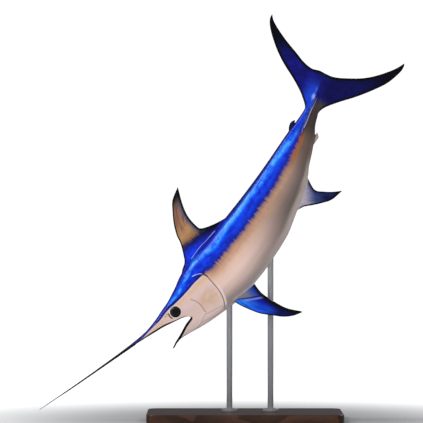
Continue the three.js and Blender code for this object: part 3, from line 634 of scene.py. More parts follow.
def body_grid():
    """The whole body from bill to tail, with its mouth still filled."""
    even = np.arange(AROUND) * 2 * math.pi / AROUND
    angle = even - SPOKE_GATHER * np.sin(2 * even)
    edge = np.full(AROUND, EDGE_GUESS)
    for _ in range(EDGE_TRIES):
        edge = (edge + gill_edge(skin(edge, angle)[0])) / 2
    rings = [np.full(AROUND, u) for u in np.linspace(0, BILL_END, BILL_RINGS)[:-1]]
    rings += [np.full(AROUND, u) for u in np.linspace(BILL_END, CHEEK, FACE_RINGS)]
    lift = [np.zeros(AROUND)] * len(rings)
    for k in range(1, CHEEK_RINGS):
        rings.append(CHEEK + (edge - CHEEK) * k / CHEEK_RINGS)
        lift.append(GILL_RISE * gill_proud(rings[-1], skin(rings[-1], angle)[0]))
    proud = gill_proud(edge, skin(edge, angle)[0])
    for behind, high, flat in GILL_STEPS:
        rings.append(edge + behind * proud + flat * (1 - proud))
        lift.append(GILL_RISE * high * proud)
    last = rings[-1]
    for k in range(1, TORSO_RINGS + 1):
        share = k / TORSO_RINGS
        rings.append(last + (STALK_START - last) * share)
        lift.append(np.zeros(AROUND))
    for u in np.linspace(STALK_START, STALK_END, STALK_RINGS)[1:]:
        rings.append(np.full(AROUND, u))
        lift.append(np.zeros(AROUND))
    u, lift = np.concatenate(rings), np.concatenate(lift)
    around = np.tile(angle, len(rings))
    v, w = skin(u, around)
    sides = np.abs(np.cos(around)) ** FOLD_FADE
    w = w + np.sign(w) * (lift + relief(u, v) * sides)
    points = place(u, v, w)
    ends = place(np.array([0, STALK_END]), np.array([0.0, float(widest_level(STALK_END))]), 0.0)
    start = len(points)
    points = np.concatenate([points, ends])
    faces = grid_faces(len(rings), AROUND, closed=True)
    bottom = (len(rings) - 1) * AROUND
    for j in range(AROUND):
        after = (j + 1) % AROUND
        faces.append((start, j, after))
        faces.append((start + 1, bottom + after, bottom + j))
    return mesh_object("swordfish_skin", points, faces)


def behind_crease(u, v):
    """How far points lie behind the crease of the pectoral fins."""
    (fu, fv), (tu, tv) = PECTORAL_CREASE
    return ((tu - fu) * (v - fv) - (tv - fv) * (u - fu)) / math.hypot(tu - fu, tv - fv)


def pectoral_lean(side):
    """How far out a pectoral fin's middle lies, which folds back past its crease."""
    def lean(u, v):
        out = PECTORAL_AT + PECTORAL_SLOPE * (PECTORAL_FROM - v)
        behind = behind_crease(u, v)
        soft = (np.sqrt(behind**2 + PECTORAL_SOFT**2) + behind) / 2
        return side * (out - PECTORAL_FOLD * soft)
    return lean


def right_pectoral():
    """The right pectoral fin, whose tip reaches a little further forward and down."""
    low = PECTORAL["trail"][0][1]

    def shift(point):
        share = min(max((PECTORAL_FROM - point[1]) / (PECTORAL_FROM - low), 0), 1) ** 2
        return (point[0] - RIGHT_FORWARD * share, point[1] - RIGHT_DOWN * share)
    edges = {edge: [shift(point) for point in PECTORAL[edge]] for edge in ("lead", "trail")}
    return {**PECTORAL, **edges}


def flat(u, v):
    """A fin in the middle plane."""
    return np.zeros_like(u)


def fin_grid(name, spec, lean=flat):
    """A thin fin with a ridge for each ray. Returns its object, and for each point of it
    the ray it is on, how far out it is, and its distances from the fin's edges."""
    columns, rows = spec["columns"], spec["rows"]
    s = np.linspace(0, 1, columns + 1)[:, None]
    t = np.linspace(0, 1, rows + 1)[None, :]
    root, trail = line_through(spec["root"])(s[:, 0]), line_through(spec["trail"])(s[:, 0])
    lead = line_through(spec["lead"])(t[0])
    first, tip = lead[0], lead[-1]
    bow = lead - (first + (tip - first) * t[0][:, None])
    middle = (
        root[:, None] * (1 - t[..., None]) + trail[:, None] * t[..., None]
        + (1 - s)[..., None] * bow[None]
    )
    u, v = middle[..., 0], middle[..., 1]
    foil = np.sqrt(np.clip(s * FOIL_NOSE, 0, 1)) * (1 - FOIL_THINNING * s)
    flare = spec["thick"] * ((1 - t) ** FLARE_POWER + FLARE_BASE * (1 - t))
    ray = 0.5 - 0.5 * np.cos(2 * math.pi * spec["rays"] * s)
    ridge = RAY_HEIGHT * ray**RAY_POWER * (1 - t) ** 0.5 * np.clip(t * RAY_START, 0, 1)
    inner = np.minimum(1, (1 - t) * EDGE_SOFTNESS) * np.minimum(1, s * EDGE_SOFTNESS)
    thin = spec["edge"] * (EDGE_SHARE + (1 - EDGE_SHARE) * inner)
    half = thin + flare * foil + ridge
    w = lean(u, v)
    sheets = [place(u, v, w + side * half).reshape(-1, 3) for side in (1, -1)]
    points = np.concatenate(sheets)
    count = (columns + 1) * (rows + 1)
    faces = grid_faces(columns + 1, rows + 1)
    faces += [tuple(i + count for i in reversed(face)) for face in faces]
    border = list(range(rows))
    border += [i * (rows + 1) + rows for i in range(columns)]
    border += [columns * (rows + 1) + k for k in range(rows, 0, -1)]
    border += [i * (rows + 1) for i in range(columns, 0, -1)]
    for a, b in zip(border, border[1:] + border[:1]):
        faces.append((a, b, b + count, a + count))
    made = mesh_object(name, points, faces)
    flat_u, flat_v = u.ravel(), v.ravel()
    marks = np.stack([
        np.broadcast_to(s, u.shape).ravel(),
        np.broadcast_to(t, u.shape).ravel(),
        distance(flat_u, flat_v, spec["lead"]),
        distance(flat_u, flat_v, spec["trail"]),
        np.hypot(flat_u - tip[0], flat_v - tip[1]),
    ], -1)
    return made, np.concatenate([marks, marks])


def slab(outline):
    """A cutter with that outline in the straight fish, through its whole width, in slices
    that leave the walls of the mouth with enough points to paint."""
    count = len(outline)
    u, v = np.array(outline, float).T
    slices = [-CUT_WIDTH, *np.arange(-CUT_FINE, CUT_FINE + 1, 4), CUT_WIDTH]
    points = np.concatenate([place(u, v, w) for w in slices])
    last = (len(slices) - 1) * count
    faces = grid_faces(len(slices), count, closed=True)
    faces += [tuple(range(count)), tuple(range(last + count - 1, last - 1, -1))]
    return mesh_object("cutter", points, faces)


def plain_piece(name, add, **measures):
    """A new piece of a plain shape."""
    bpy.ops.object.select_all(action="DESELECT")
    add(**measures)
    made = bpy.context.active_object
    made.name = name
    return made


def ellipsoid(name, at, radii, pitch=0, across=48, along=24):
    """An ellipsoid in the straight fish, pitched nose down, bent into the pose."""
    made = plain_piece(
        name, bpy.ops.mesh.primitive_uv_sphere_add, segments=across, ring_count=along, radius=1)
    ball = points_of(made)
    cos, sin = math.cos(math.radians(pitch)), math.sin(math.radians(pitch))
    a, b, c = ball[:, 0] * radii[0], ball[:, 1] * radii[1], ball[:, 2] * radii[2]
    posed = place(at[0] + a * cos - b * sin, at[1] + a * sin + b * cos, at[2] + c)
    made.data.vertices.foreach_set("co", posed.ravel())
    face_out(made)
    return made


def lip(name, table, side, inset):
    """A round lip along one jaw's edge on one side, thinning to both ends."""
    share = np.linspace(0, 1, LIP["steps"] + 1)
    u, v = line_through(table)(share).T
    v = v + inset
    w = side * (skin_width(u, v) - LIP["radius"] * LIP["sunk"])
    middle = place(u, v, w)
    along = np.gradient(middle, axis=0)
    along /= np.linalg.norm(along, axis=1)[:, None]
    out = place(u, v, w + side) - middle
    out -= (out * along).sum(1)[:, None] * along
    out /= np.linalg.norm(out, axis=1)[:, None]
    up = np.cross(along, out)
    swell = np.sin(math.pi * np.clip(share * LIP["run"] + LIP["start"], 0, 1)) ** 0.5
    radius = MM * LIP["radius"] * (LIP["ends"] + (1 - LIP["ends"]) * swell)
    angle = (np.arange(LIP["sides"]) * 2 * math.pi / LIP["sides"])[None, :, None]
    ring = np.cos(angle) * out[:, None] + np.sin(angle) * up[:, None]
    points = (middle[:, None] + radius[:, None, None] * ring).reshape(-1, 3)
    faces = grid_faces(LIP["steps"] + 1, LIP["sides"], closed=True)
    first = tuple(range(LIP["sides"]))
    last = tuple(LIP["steps"] * LIP["sides"] + j for j in range(LIP["sides"]))
    return mesh_object(name, points, faces + [first, last[::-1]])


def combine(piece, other, operation):
    """Joins or cuts a piece with another closed piece, which goes."""
    only(piece)
    cut = piece.modifiers.new("combine", "BOOLEAN")
    cut.operation, cut.object, cut.solver = operation, other, "MANIFOLD"
    bpy.ops.object.modifier_apply(modifier=cut.name)
    bpy.data.objects.remove(other, do_unlink=True)


def write_marks(piece, name, values):
    """Keeps a number or a vector for each point of the piece, for its material to read."""
    values = np.asarray(values, np.float32)
    kind, field = ("FLOAT", "value") if values.ndim == 1 else ("FLOAT_VECTOR", "vector")
    made = piece.data.attributes.new(name, kind, "POINT")
    made.data.foreach_set(field, values.ravel())


def tree_of(points):
    """Search tree over points."""
    tree = KDTree(len(points))
    for i, point in enumerate(points):
        tree.insert(point, i)
    tree.balance()
    return tree


def merge_points(piece, reach):
    """Merges points closer than reach, and takes out points where only two edges then meet."""
    with editing(piece):
        bpy.ops.mesh.remove_doubles(threshold=reach)
    ends = np.zeros(2 * len(piece.data.edges), int)
    piece.data.edges.foreach_get("vertices", ends)
    meeting = np.bincount(ends, minlength=len(piece.data.vertices))
    with editing(piece, "VERT", meeting == 2):
        bpy.ops.mesh.dissolve_verts()


def nearby(tree, points):
    """The index of the tree's nearest point to each point, and how far it is."""
    found = [tree.find(point)[1:] for point in points]
    return np.array([index for index, _ in found]), np.array([gap for _, gap in found])


def mark_body(piece, u, v, w):
    """Gives each point of the skin its place on the body's markings."""
    edge = np.minimum(blue_edge(u), back(u) - 1)
    ahead = beside(u, v, [(gu, gv) for gv, gu in GILL_EDGE], 90)[0]
    buried = skin_width(u, v) - np.abs(w)
    start, end = MOUTH_SPAN
    for name, values in {
        "fish": np.stack([u, v, w], -1) * MM,
        "above_edge": v - blue_edge(u),
        "azure": v - azure_highlight_band(u),
        "dorsal_line": v - dorsal_tan_edge(u),
        "crown": np.clip((v - edge) / (back(u) - edge), 0, 1),
        "share": np.clip((edge - v) / (edge + belly(u)), 0, 1.05),
        "gill": np.where(u < GILL_MARK_END, ahead * np.where(v > GILL_TOP, 3, 1), FAR_BEHIND),
        "nostril": np.min([np.hypot(u - nu, v - nv) for nu, nv in NOSTRILS], 0),
        "inside": smooth(buried, *MOUTH_DEEP) * (u > start) * (u < end) * (v < MOUTH_TOP),
        "fold": behind_crease(u, v),
    }.items():
        write_marks(piece, name, values)
    for name, table in MARKED_LINES.items():
        left, past = beside(u, v, table, 60)
        write_marks(piece, name, np.stack([left, past, np.zeros(len(u))], -1))


def mark_fins(piece, body_points, fins):
    """Gives each point of the skin its place on the fin that it is on."""
    points = points_of(piece)
    nearest, gap = nearby(tree_of(np.concatenate([own for own, _, _ in fins])), points)
    clear = nearby(tree_of(body_points), points)[1] > FIN_CLEAR * MM
    on_fin = (gap < SAME_POINT) | (clear & (gap < FIN_CLEAR * MM))
    height = np.where(on_fin, nearby(tree_of(points[~on_fin]), points)[1], 0.0) / MM
    close = (gap < FIN_NEAR)[:, None]
    marks = np.concatenate([marks for _, marks, _ in fins])[nearest]
    write_marks(piece, "ray", np.where(close, marks[:, [0, 1, 1]], 0))
    write_marks(piece, "rim", np.where(close, marks[:, 2:5], FAR_RIM))
    kinds = np.concatenate([np.full(len(own), kind) for own, _, kind in fins])[nearest]
    for kind in sorted(set(kinds)):
        mask = (kinds == kind) & on_fin
        write_marks(piece, str(kind), np.where(mask, smooth(height, *FIN_FADE), 0))


def ease(piece, name, weights, passes):
    """Smooths the skin where its points have a weight."""
    only(piece)
    group = piece.vertex_groups.new(name=name)
    for i in np.nonzero(weights > LEAST_WEIGHT)[0]:
        group.add([int(i)], float(weights[i]), "REPLACE")
    made = piece.modifiers.new(name, "SMOOTH")
    made.factor, made.iterations, made.vertex_group = 0.5, passes, name
    bpy.ops.object.modifier_apply(modifier=made.name)


def grow_fins(piece):
    """Joins the fins to the body. Returns each one's points, their marks and its kind."""
    fins = []
    for kind, spec, lean in [
        ("first_dorsal", FIRST_DORSAL, flat), ("second_dorsal", SECOND_DORSAL, flat),
        ("first_anal", FIRST_ANAL, flat), ("second_anal", SECOND_ANAL, flat),
        ("tail", TAIL_UPPER, flat), ("tail", TAIL_LOWER, flat),
        ("pectoral", PECTORAL, pectoral_lean(1)),
        ("pectoral", right_pectoral(), pectoral_lean(-1)),
    ]:
        made, marks = fin_grid(kind, spec, lean)
        fins.append((points_of(made), marks, kind))
        combine(piece, made, "UNION")
    return fins


def cut_head(piece):
    """Opens the mouth, with its palate, gullet, tongue and lips, the eye sockets and nostrils."""
    steps = np.linspace(0, 1, MOUTH_STEPS + 1)
    upper = line_through(UPPER_JAW_EDGE + [MOUTH_CORNER])(steps)
    lower = line_through([MOUTH_CORNER] + LOWER_JAW_EDGE)(steps)[1:]
    outline = [tuple(p) for p in np.concatenate([upper, lower])] + MOUTH_FRONT
    combine(piece, slab(outline), "DIFFERENCE")
    combine(piece, ellipsoid("gullet", **GULLET), "DIFFERENCE")
    combine(piece, ellipsoid("palate", **PALATE), "DIFFERENCE")
    combine(piece, ellipsoid("tongue", **TONGUE), "UNION")
    for side in (1, -1):
        combine(piece, lip("lip", UPPER_JAW_EDGE[1:], side, LIP["inset"]), "UNION")
        combine(piece, lip("lip", LOWER_JAW_EDGE[1:-1], side, -LIP["inset"]), "UNION")
        combine(piece, eye_ball("socket", side, EYE_CLEAR), "DIFFERENCE")
        for u, v in NOSTRILS:
            at = (u, v, side * float(skin_width(u, v)))
            combine(piece, ellipsoid("nostril", at, across=16, along=10, **NOSTRIL), "DIFFERENCE")


def build_skin():
    """One closed skin over the body, bill and fins, cut and folded at the head."""
    piece = body_grid()
    body_points = points_of(piece)
    fins = grow_fins(piece)
    joined = points_of(piece)
    known = tree_of(np.concatenate([body_points] + [own for own, _, _ in fins]))
    is_new = nearby(known, joined)[1] > SAME_POINT
    at_body = nearby(tree_of(body_points), joined)[1] < FIN_CLEAR * MM
    seam = tree_of(joined[is_new & at_body])
    cut_head(piece)
    merge_points(piece, MERGE_REACH)

    points = points_of(piece)
    u, v, w = straighten(points)
    mark_body(piece, u, v, w)
    mark_fins(piece, body_points, fins)
    seam = tree_of(points[nearby(seam, points)[1] < SEAM_REACH])
    from_seam = nearby(seam, points)[1] / MM
    rise, full, fall, end = STALK_BLEND
    on_stalk = smooth(u, rise, full) * (1 - smooth(u, fall, end))
    ease(piece, "roots", 1 - smooth(from_seam, *ROOT_FILLET), ROOT_PASSES)
    ease(piece, "stalk", on_stalk * (1 - smooth(np.abs(v), *STALK_HEIGHT)), STALK_PASSES)
    piece.vertex_groups.clear()
    bpy.ops.object.shade_smooth_by_angle(angle=math.radians(SKIN_SMOOTH))
    return piece


def eye_ball(name, side, grow=0.0):
    """The eye, or its socket, which is larger by grow."""
    surface = float(skin_width(EYE["u"], EYE["v"]))
    at = (EYE["u"], EYE["v"], side * (surface - EYE["sunk"]))
    radii = (EYE["radius"] + grow, EYE["radius"] + grow, EYE["depth"] + grow)
    return ellipsoid(name, at, radii, across=64, along=48)


def sums(operation):
    """A method that takes one step of arithmetic on a value and what it is given."""
    def apply(value, *others):
        return value.paint.math(operation, value, *others)
    return apply


class Value:
    """A number or colour that varies over a surface, whose sums are written as on paper."""

    __add__ = __radd__ = sums("ADD")
    __mul__ = __rmul__ = sums("MULTIPLY")
    __sub__, __truediv__, __abs__ = sums("SUBTRACT"), sums("DIVIDE"), sums("ABSOLUTE")
    root, at_least = sums("SQRT"), sums("MAXIMUM")

    def __init__(self, paint, socket):
        self.paint, self.socket = paint, socket

    def step(self, low, high):
        """0 at low and 1 at high, smooth between, either way round."""
        return self.paint.spread("SMOOTHSTEP", self, {"From Min": low, "From Max": high})

    def from_to(self, low, high):
        """A value from 0 to 1 spread from low to high."""
        return self.paint.spread("LINEAR", self, {"To Min": low, "To Max": high})


class Finish:
    """A procedural material, built one value at a time."""

    def __init__(self, name):
        self.material = bpy.data.materials.new(name)
        self.material.use_nodes = True
        self.tree = self.material.node_tree
        self.tree.nodes.clear()
        self.shader = self.node("ShaderNodeBsdfPrincipled")
        out = self.node("ShaderNodeOutputMaterial")
        self.tree.links.new(self.shader.outputs["BSDF"], out.inputs["Surface"])

    def node(self, kind, **settings):
        """A new node with its settings."""
        made = self.tree.nodes.new(kind)
        for name, value in settings.items():
            setattr(made, name, value)
        return made

    def feed(self, socket, value):
        """Links a value that varies to a socket, or sets one that doesn't."""
        if isinstance(value, Value):
            self.tree.links.new(value.socket, socket)
        else:
            socket.default_value = value

    def colour(self, value):
        """Gives the surface its colour."""
        self.feed(self.shader.inputs["Base Color"], value)

    def mark(self, name):
        """A number that the mesh keeps for each point."""
        return Value(self, self.node("ShaderNodeAttribute", attribute_name=name).outputs["Fac"])

    def split(self, socket):
        """The three numbers of a vector."""
        apart = self.node("ShaderNodeSeparateXYZ")
        self.tree.links.new(socket, apart.inputs[0])
        return [Value(self, output) for output in apart.outputs]

    def parts(self, name):
        """The three numbers of a vector that the mesh keeps for each point."""
        return self.split(self.node("ShaderNodeAttribute", attribute_name=name).outputs["Vector"])

    def place(self):
        """The three coordinates of a point in the piece's own space."""
        return self.split(self.node("ShaderNodeTexCoord").outputs["Object"])

    def math(self, operation, *values):
        """One step of arithmetic."""
        made = self.node("ShaderNodeMath", operation=operation)
        for socket, value in zip(made.inputs, values):
            self.feed(socket, value)
        return Value(self, made.outputs[0])

    def spread(self, kind, value, limits):
        """A value moved from one range to another."""
        made = self.node("ShaderNodeMapRange", interpolation_type=kind)
        self.feed(made.inputs["Value"], value)
        for name, limit in limits.items():
            made.inputs[name].default_value = limit
        return Value(self, made.outputs["Result"])

    def mix(self, share, first, second, blend="MIX"):
        """One colour over another by a share."""
        made = self.node("ShaderNodeMix", data_type="RGBA", blend_type=blend)
        for index, value in ((0, share), (6, first), (7, second)):
            self.feed(made.inputs[index], value)
        return Value(self, made.outputs[2])

    def over(self, colour, *layers):
        """Layers of paint over a colour, each a share and the paint."""
        for share, paint in layers:
            colour = self.mix(share, colour, paint)
        return colour

    def ramp(self, value, stops):
        """Colours along a value."""
        made = self.node("ShaderNodeValToRGB")
        self.feed(made.inputs[0], value)
        band = made.color_ramp
        for element, (position, colour) in zip(band.elements, (stops[0], stops[-1])):
            element.position, element.color = position, colour
        for position, colour in stops[1:-1]:
            band.elements.new(position).color = colour
        return Value(self, made.outputs[0])

    def noise(self, x, y, z, detail=2.0, rough=0.5):
        """Cloudy pattern from 0 to 1 over three coordinates."""
        together = self.node("ShaderNodeCombineXYZ")
        for socket, value in zip(together.inputs, (x, y, z)):
            self.feed(socket, value)
        made = self.node("ShaderNodeTexNoise")
        self.tree.links.new(together.outputs[0], made.inputs["Vector"])
        for name, value in (("Scale", 1.0), ("Detail", detail), ("Roughness", rough)):
            made.inputs[name].default_value = value
        return Value(self, made.outputs["Fac"])

    def bump(self, height, strength, distance_m, under=None):
        """Fine relief from a height, over another relief where there is one."""
        made = self.node("ShaderNodeBump")
        made.inputs["Strength"].default_value = strength
        made.inputs["Distance"].default_value = distance_m
        self.feed(made.inputs["Height"], height)
        if under is not None:
            self.feed(made.inputs["Normal"], under)
        return Value(self, made.outputs[0])

    def relief(self, normal):
        """Gives the surface its fine relief."""
        self.feed(self.shader.inputs["Normal"], normal)

    def gloss(self, roughness, coat=0.0, coat_roughness=0.05, metallic=0.0):
        """How the surface shines."""
        self.feed(self.shader.inputs["Roughness"], roughness)
        for name, value in (
            ("Coat Weight", coat), ("Coat Roughness", coat_roughness), ("Metallic", metallic),
        ):
            self.shader.inputs[name].default_value = value


def blue_of_back(paint, u, v, w):
    """The cobalt back with navy rims and streaks, an azure band painted along it as a highlight, and a
    brighter painted highlight within the band.
    """
    streak = paint.noise(u * 170, v * 9, w * 9, 3.0, 0.6)
    strokes = paint.noise(u * 14, v * 70, w * 20, 3.0, 0.55)
    cloud = paint.noise(u * 26, v * 40, w * 16, 3.0, 0.6)
    on_body, behind_eye = u.step(1.06, 1.14), u.step(0.82, 0.91)
    texture = paint.mix(on_body, strokes, streak)
    blue = paint.mix(cloud.step(0.38, 0.62), COBALT, ROYAL)

    away = abs(paint.mark("azure") + texture.from_to(-8.0, 8.0)) / on_body.from_to(0.55, 1.0)
    band = away.step(26.0, 4.0) * cloud.step(0.3, 0.56).from_to(0.45, 1.0) * behind_eye
    brightest = u.step(1.28, 1.4) * u.step(1.62, 1.5)
    clear = cloud.step(0.4, 0.64).at_least(brightest.from_to(0.0, 0.75))
    gleam = away.step(14.0, 1.0) * clear * streak.step(0.3, 0.6).from_to(0.5, 0.9) * behind_eye
    above = paint.mark("above_edge") + texture.from_to(-12.0, 12.0)
    rim = paint.mix(on_body, above.step(15.0, 6.0), above.step(36.0, 4.0) * 0.8)
    crown = paint.mark("crown") + texture.from_to(-0.05, 0.05)
    at_fin = u.step(1.0, 1.06) * u.step(1.47, 1.38)
    foot = paint.mark("azure").step(10.0, 30.0) * at_fin * 0.8
    return paint.over(
        blue,
        (texture.step(0.46, 0.7) * 0.42, DEEP_BLUE),
        # painted highlight: the azure band along the back, then its brighter middle
        (band, AZURE_HIGHLIGHT),
        (gleam, SKY_HIGHLIGHT),
        (u.step(1.9, 2.0) * 0.6, STALK_BLUE),
        (rim, paint.mix(on_body, HEAD_RIM, BODY_RIM)),
        (u.step(0.88, 0.72) * 0.55, FACE_NAVY),
        (foot, FOOT_BLUE),
        (crown.step(0.78, 0.96) * at_fin.from_to(1.0, 0.35), RIDGE_NAVY),
        (crown.step(0.96, 1.0) * at_fin.from_to(1.0, 0.0), BLACK),
    )


def flank_paint(paint, u, v, w):
    """Tan, cream and grey of the flank, its grey band partly painted shade and the pale strip at the
    belly's edge partly painted light, and the pink of the head.
    """
    patch = paint.noise(u * 17, v * 26, w * 9, 4.0, 0.6)
    hairs = paint.noise(u * 190, v * 12, w * 9, 2.0)
    drawn = paint.noise(u * 8, v * 60, w * 20, 2.0)
    share = paint.mark("share") + drawn.from_to(-0.05, 0.05)
    # partly painted shade in the grey band low on the side, partly painted light in the pale strip at
    # the belly's edge
    front, rear = paint.ramp(share, FRONT_FLANK), paint.ramp(share, REAR_FLANK)
    flank = paint.mix(u.step(1.22, 1.66), front, rear)
    flank = paint.over(
        flank,
        (patch.step(0.5, 0.64) * share.step(0.46, 0.05) * u.step(1.8, 1.6) * 0.5, GOLDEN),
        (u.step(1.76, 1.94) * 0.85, REAR_BROWN),
        (u.step(1.76, 1.9) * u.step(2.03, 1.96) * share.step(0.4, 0.14) * 0.9, COPPER),
        (u.step(1.94, 2.05) * 0.95, STALK_BROWN),
    )
    from_cheek_u, from_cheek_v = u - CHEEK_PATCH[0], v - CHEEK_PATCH[1]
    from_cheek = from_cheek_u * from_cheek_u + from_cheek_v * from_cheek_v
    head = paint.over(
        paint.ramp(share, HEAD_PINKS),
        (from_cheek.step(0.0050, 0.0004) * patch.step(0.22, 0.7) * 0.85, CHEEK_TAN),
        (share.step(0.2, 0.06) * patch.step(0.3, 0.66) * 0.7, BROW_TAN),
    )
    both = paint.mix(paint.mark("gill").step(-2.0, 1.0), flank, head)
    fine = hairs.step(0.45, 0.75) * share.step(0.4, 0.1) * u.step(1.1, 1.16) * 0.22
    return paint.mix(fine, both, HAIR_BROWN, "MULTIPLY")


def stroke(paint, name, full, none):
    """Mask of a marked line: 1 within full of it and 0 beyond none, in millimetres."""
    left, past, _ = paint.parts(name)
    return (left * left + past * past).root().step(none, full)


def head_lines(paint, colour, u, v):
    """Lines of the head's edges and folds: painted shade in the gill cover's gap, along the grooves
    and in the nostrils, painted light behind the cover's edge, a painted highlight on the jaw's ridge,
    and the lilac line.
    """
    from_gill = paint.mark("gill")
    proud = v.step(-0.158, -0.14) * v.step(0.05, 0.036)
    behind = abs(from_gill + 8.0)
    pale = v.step(-0.02, -0.09).from_to(0.2, 0.75)
    return paint.over(
        colour,
        # painted shade: dark line in the gap under the gill cover's edge
        (abs(from_gill).step(2.8, 0.8) * proud * 0.8, GILL_GAP_SHADE),
        # painted light: pale strip on the step behind the cover's edge, against its shade
        (behind.step(8.5, 2.0) * proud * pale, BEHIND_GILL_LIGHT),
        # painted shade along the head's grooves and a painted highlight along the jaw's ridge
        *((stroke(paint, name, full, none) * share, shade)
          for name, full, none, share, shade in FOLD_LIGHT_AND_SHADE),
        (stroke(paint, "lilac", 1.0, 5.4) * u.step(1.1, 1.085) * 0.85, LILAC),
        # painted shade in the nostril hollows
        (paint.mark("nostril").step(3.4, 2.4) * 0.9, NOSTRIL_SHADE),
    )


def eye_surround(paint, colour, u, v):
    """Pale ring round the eye with a painted shadow of its fold, a dark crescent at its front and
    foot.
    """
    ahead, level = u - EYE["u"] * MM, v - EYE["v"] * MM
    away = (ahead * ahead + level * level).root() * 1000.0
    facing = ahead * -1000.0 / away
    crescent = abs(away - 36.5)
    return paint.over(
        colour,
        (away.step(35.0, 31.0) * facing.step(-0.2, 0.8).from_to(0.22, 0.95), EYE_PALE),
        # painted shadow: dark crescent under the fold in front of the eye
        (crescent.step(4.8, 2.0) * facing.step(0.82, 0.93) * 0.97, EYE_FOLD_SHADOW),
        (away.step(29.6, 27.6), EYE_RIM),
    )


def mouth_paint(paint, colour, u, v):
    """Black edges of the jaws and the flesh inside the mouth, with painted shade darkening it deeper
    in.
    """
    near = abs(paint.parts("upper_lip")[0]) / u.step(0.76, 0.86).from_to(10.0, 4.4)
    upper = near.step(1.0, 0.6) * u.step(0.892, 0.866) * v.step(0.004, -0.002)
    return paint.over(
        colour,
        (upper, paint.mix(u.step(0.8, 0.7), UPPER_LIP, UPPER_LIP_FRONT)),
        (stroke(paint, "lower_lip", 9.0, 12.5), BLACK),
        (u.step(0.788, 0.764) * v.step(-0.09, -0.1), BLACK),
        # flesh inside the mouth, darkening deeper in as painted shade
        (paint.mark("inside"), paint.mix(u.step(0.82, 0.93), MOUTH_FLESH, GULLET_SHADE)),
    )


def edged(paint, colour, lead, trail, tip):
    """Black edges of a fin: half widths along its leading and trailing edges and its tip."""
    from_lead, from_trail, from_tip = paint.parts("rim")
    return paint.over(
        colour,
        (from_lead.step(lead * 1.5, lead * 0.6), BLACK),
        (from_trail.step(trail * 1.7, trail * 0.5), BLACK),
        (from_tip.step(tip * 1.5, tip * 0.5), BLACK),
    )


def first_dorsal_paint(paint, u, v, lines, cloud):
    """Tan blade with red strokes over a blue foot."""
    from_trail = paint.parts("rim")[1]
    tan = paint.over(
        paint.mix(cloud.step(0.3, 0.74), FIN_TAN, FIN_GOLD),
        (v.step(0.26, 0.33), FIN_BROWN),
        (v.step(0.262, 0.21) * 0.75, FIN_FOOT_BROWN),
        (v.step(0.24, 0.3) * v.step(0.385, 0.35) * lines.step(0.42, 0.6) * 0.75, FIN_RED),
        (from_trail.step(36.0, 12.0) * 0.85, FIN_SLATE),
        (v.step(0.35, 0.4), FIN_TIP_BLACK),
    )
    base = paint.over(
        paint.mix(cloud.step(0.4, 0.6), FOOT_COBALT, FOOT_ROYAL),
        (u.step(1.16, 1.3), FOOT_NAVY),
        (from_trail.step(46.0, 14.0), FOOT_BLACK),
    )
    ragged = paint.mark("dorsal_line") + lines.from_to(-26.0, 26.0) + cloud.from_to(-14.0, 14.0)
    limit = ragged.step(-34.0, -8.0) * ragged.step(26.0, 2.0) * 0.85
    dorsal = paint.over(base, (ragged.step(-10.0, 12.0), tan), (limit, LIMIT_NAVY))
    return edged(paint, dorsal, 7.0, 11.0, 36.0)


def tail_paint(paint, u, v, lines, cloud):
    """Navy lobes that darken to the tips, with azure where the stalk's keel meets them, partly the
    back's blue and partly a painted highlight, and a pale painted highlight there.
    """
    from_tip = paint.parts("rim")[2]
    shine = u.step(2.3, 2.16) * v.step(-0.004, 0.014) * v.step(0.1, 0.02)
    gleam = u.step(2.14, 2.18) * u.step(2.24, 2.19) * v.step(0.004, 0.011) * v.step(0.024, 0.015)
    brown = u.step(2.2, 2.12) * v.step(0.006, -0.01) * v.step(-0.09, -0.04)
    tail = paint.over(
        paint.mix(cloud.step(0.35, 0.7), TAIL_NAVY, TAIL_BLUE),
        (v.step(0.02, -0.05) * 0.75, TAIL_LOWER_NAVY),
        (from_tip.step(300.0, 110.0), TAIL_DARK),
        (from_tip.step(210.0, 70.0) * 0.8, BLACK),
        # partly the back's blue, partly painted highlight: azure shine and a pale gleam at the upper
        # lobe's root
        (shine * lines.from_to(0.4, 1.0), TAIL_AZURE_AND_SHINE),
        (gleam * cloud.step(0.4, 0.6) * 0.55, TAIL_GLEAM),
        (brown * 0.95, TAIL_BROWN),
    )
    return edged(paint, tail, 10.0, 12.0, 70.0)


def pectoral_paint(paint, v, lines):
    """Blue blade below the fin's fold with a painted highlight just under it and painted shade in its
    crease, and grey and blue above it, the grey partly painted shade where the fold turns away.
    """
    fold = paint.mark("fold")
    from_lead, from_trail, _ = paint.parts("rim")
    pale = v.step(-0.29, -0.2) * lines.step(0.6, 0.4) * from_lead.step(60.0, 30.0) * 0.6
    # painted highlight: lilac streak just below the crease
    light = abs(fold + 9.0).step(8.0, 1.0) * v.step(-0.28, -0.25) * v.step(-0.19, -0.215)
    blade = paint.over(
        paint.mix(from_lead.step(14.0, 56.0), BLADE_AZURE, BLADE_BLUE),
        (lines.step(0.44, 0.62) * 0.6, BLADE_DEEP),
        (pale, BLADE_SKY),
        (v.step(-0.29, -0.38), BLADE_NAVY),
        (from_trail.step(34.0, 12.0), BLADE_EDGE),
        (light * lines.from_to(0.2, 0.8), BLADE_HIGHLIGHT),
    )
    above = paint.over(
        # grey above the fold, partly the fin's paint and partly painted shade
        paint.mix(from_trail.step(70.0, 18.0), FOLD_GREY_AND_SHADE, FOLD_BLUE),
        (from_trail.step(30.0, 4.0), FOLD_NAVY),
    )
    # painted shade: dark line in the crease
    dark = abs(fold - 1.0).step(4.0, 1.0) * v.step(-0.29, -0.26) * 0.85
    pectoral = paint.over(blade, (fold.step(-2.0, 2.0), above), (dark, CREASE_SHADE))
    return edged(paint, pectoral, 5.0, 11.0, 46.0)


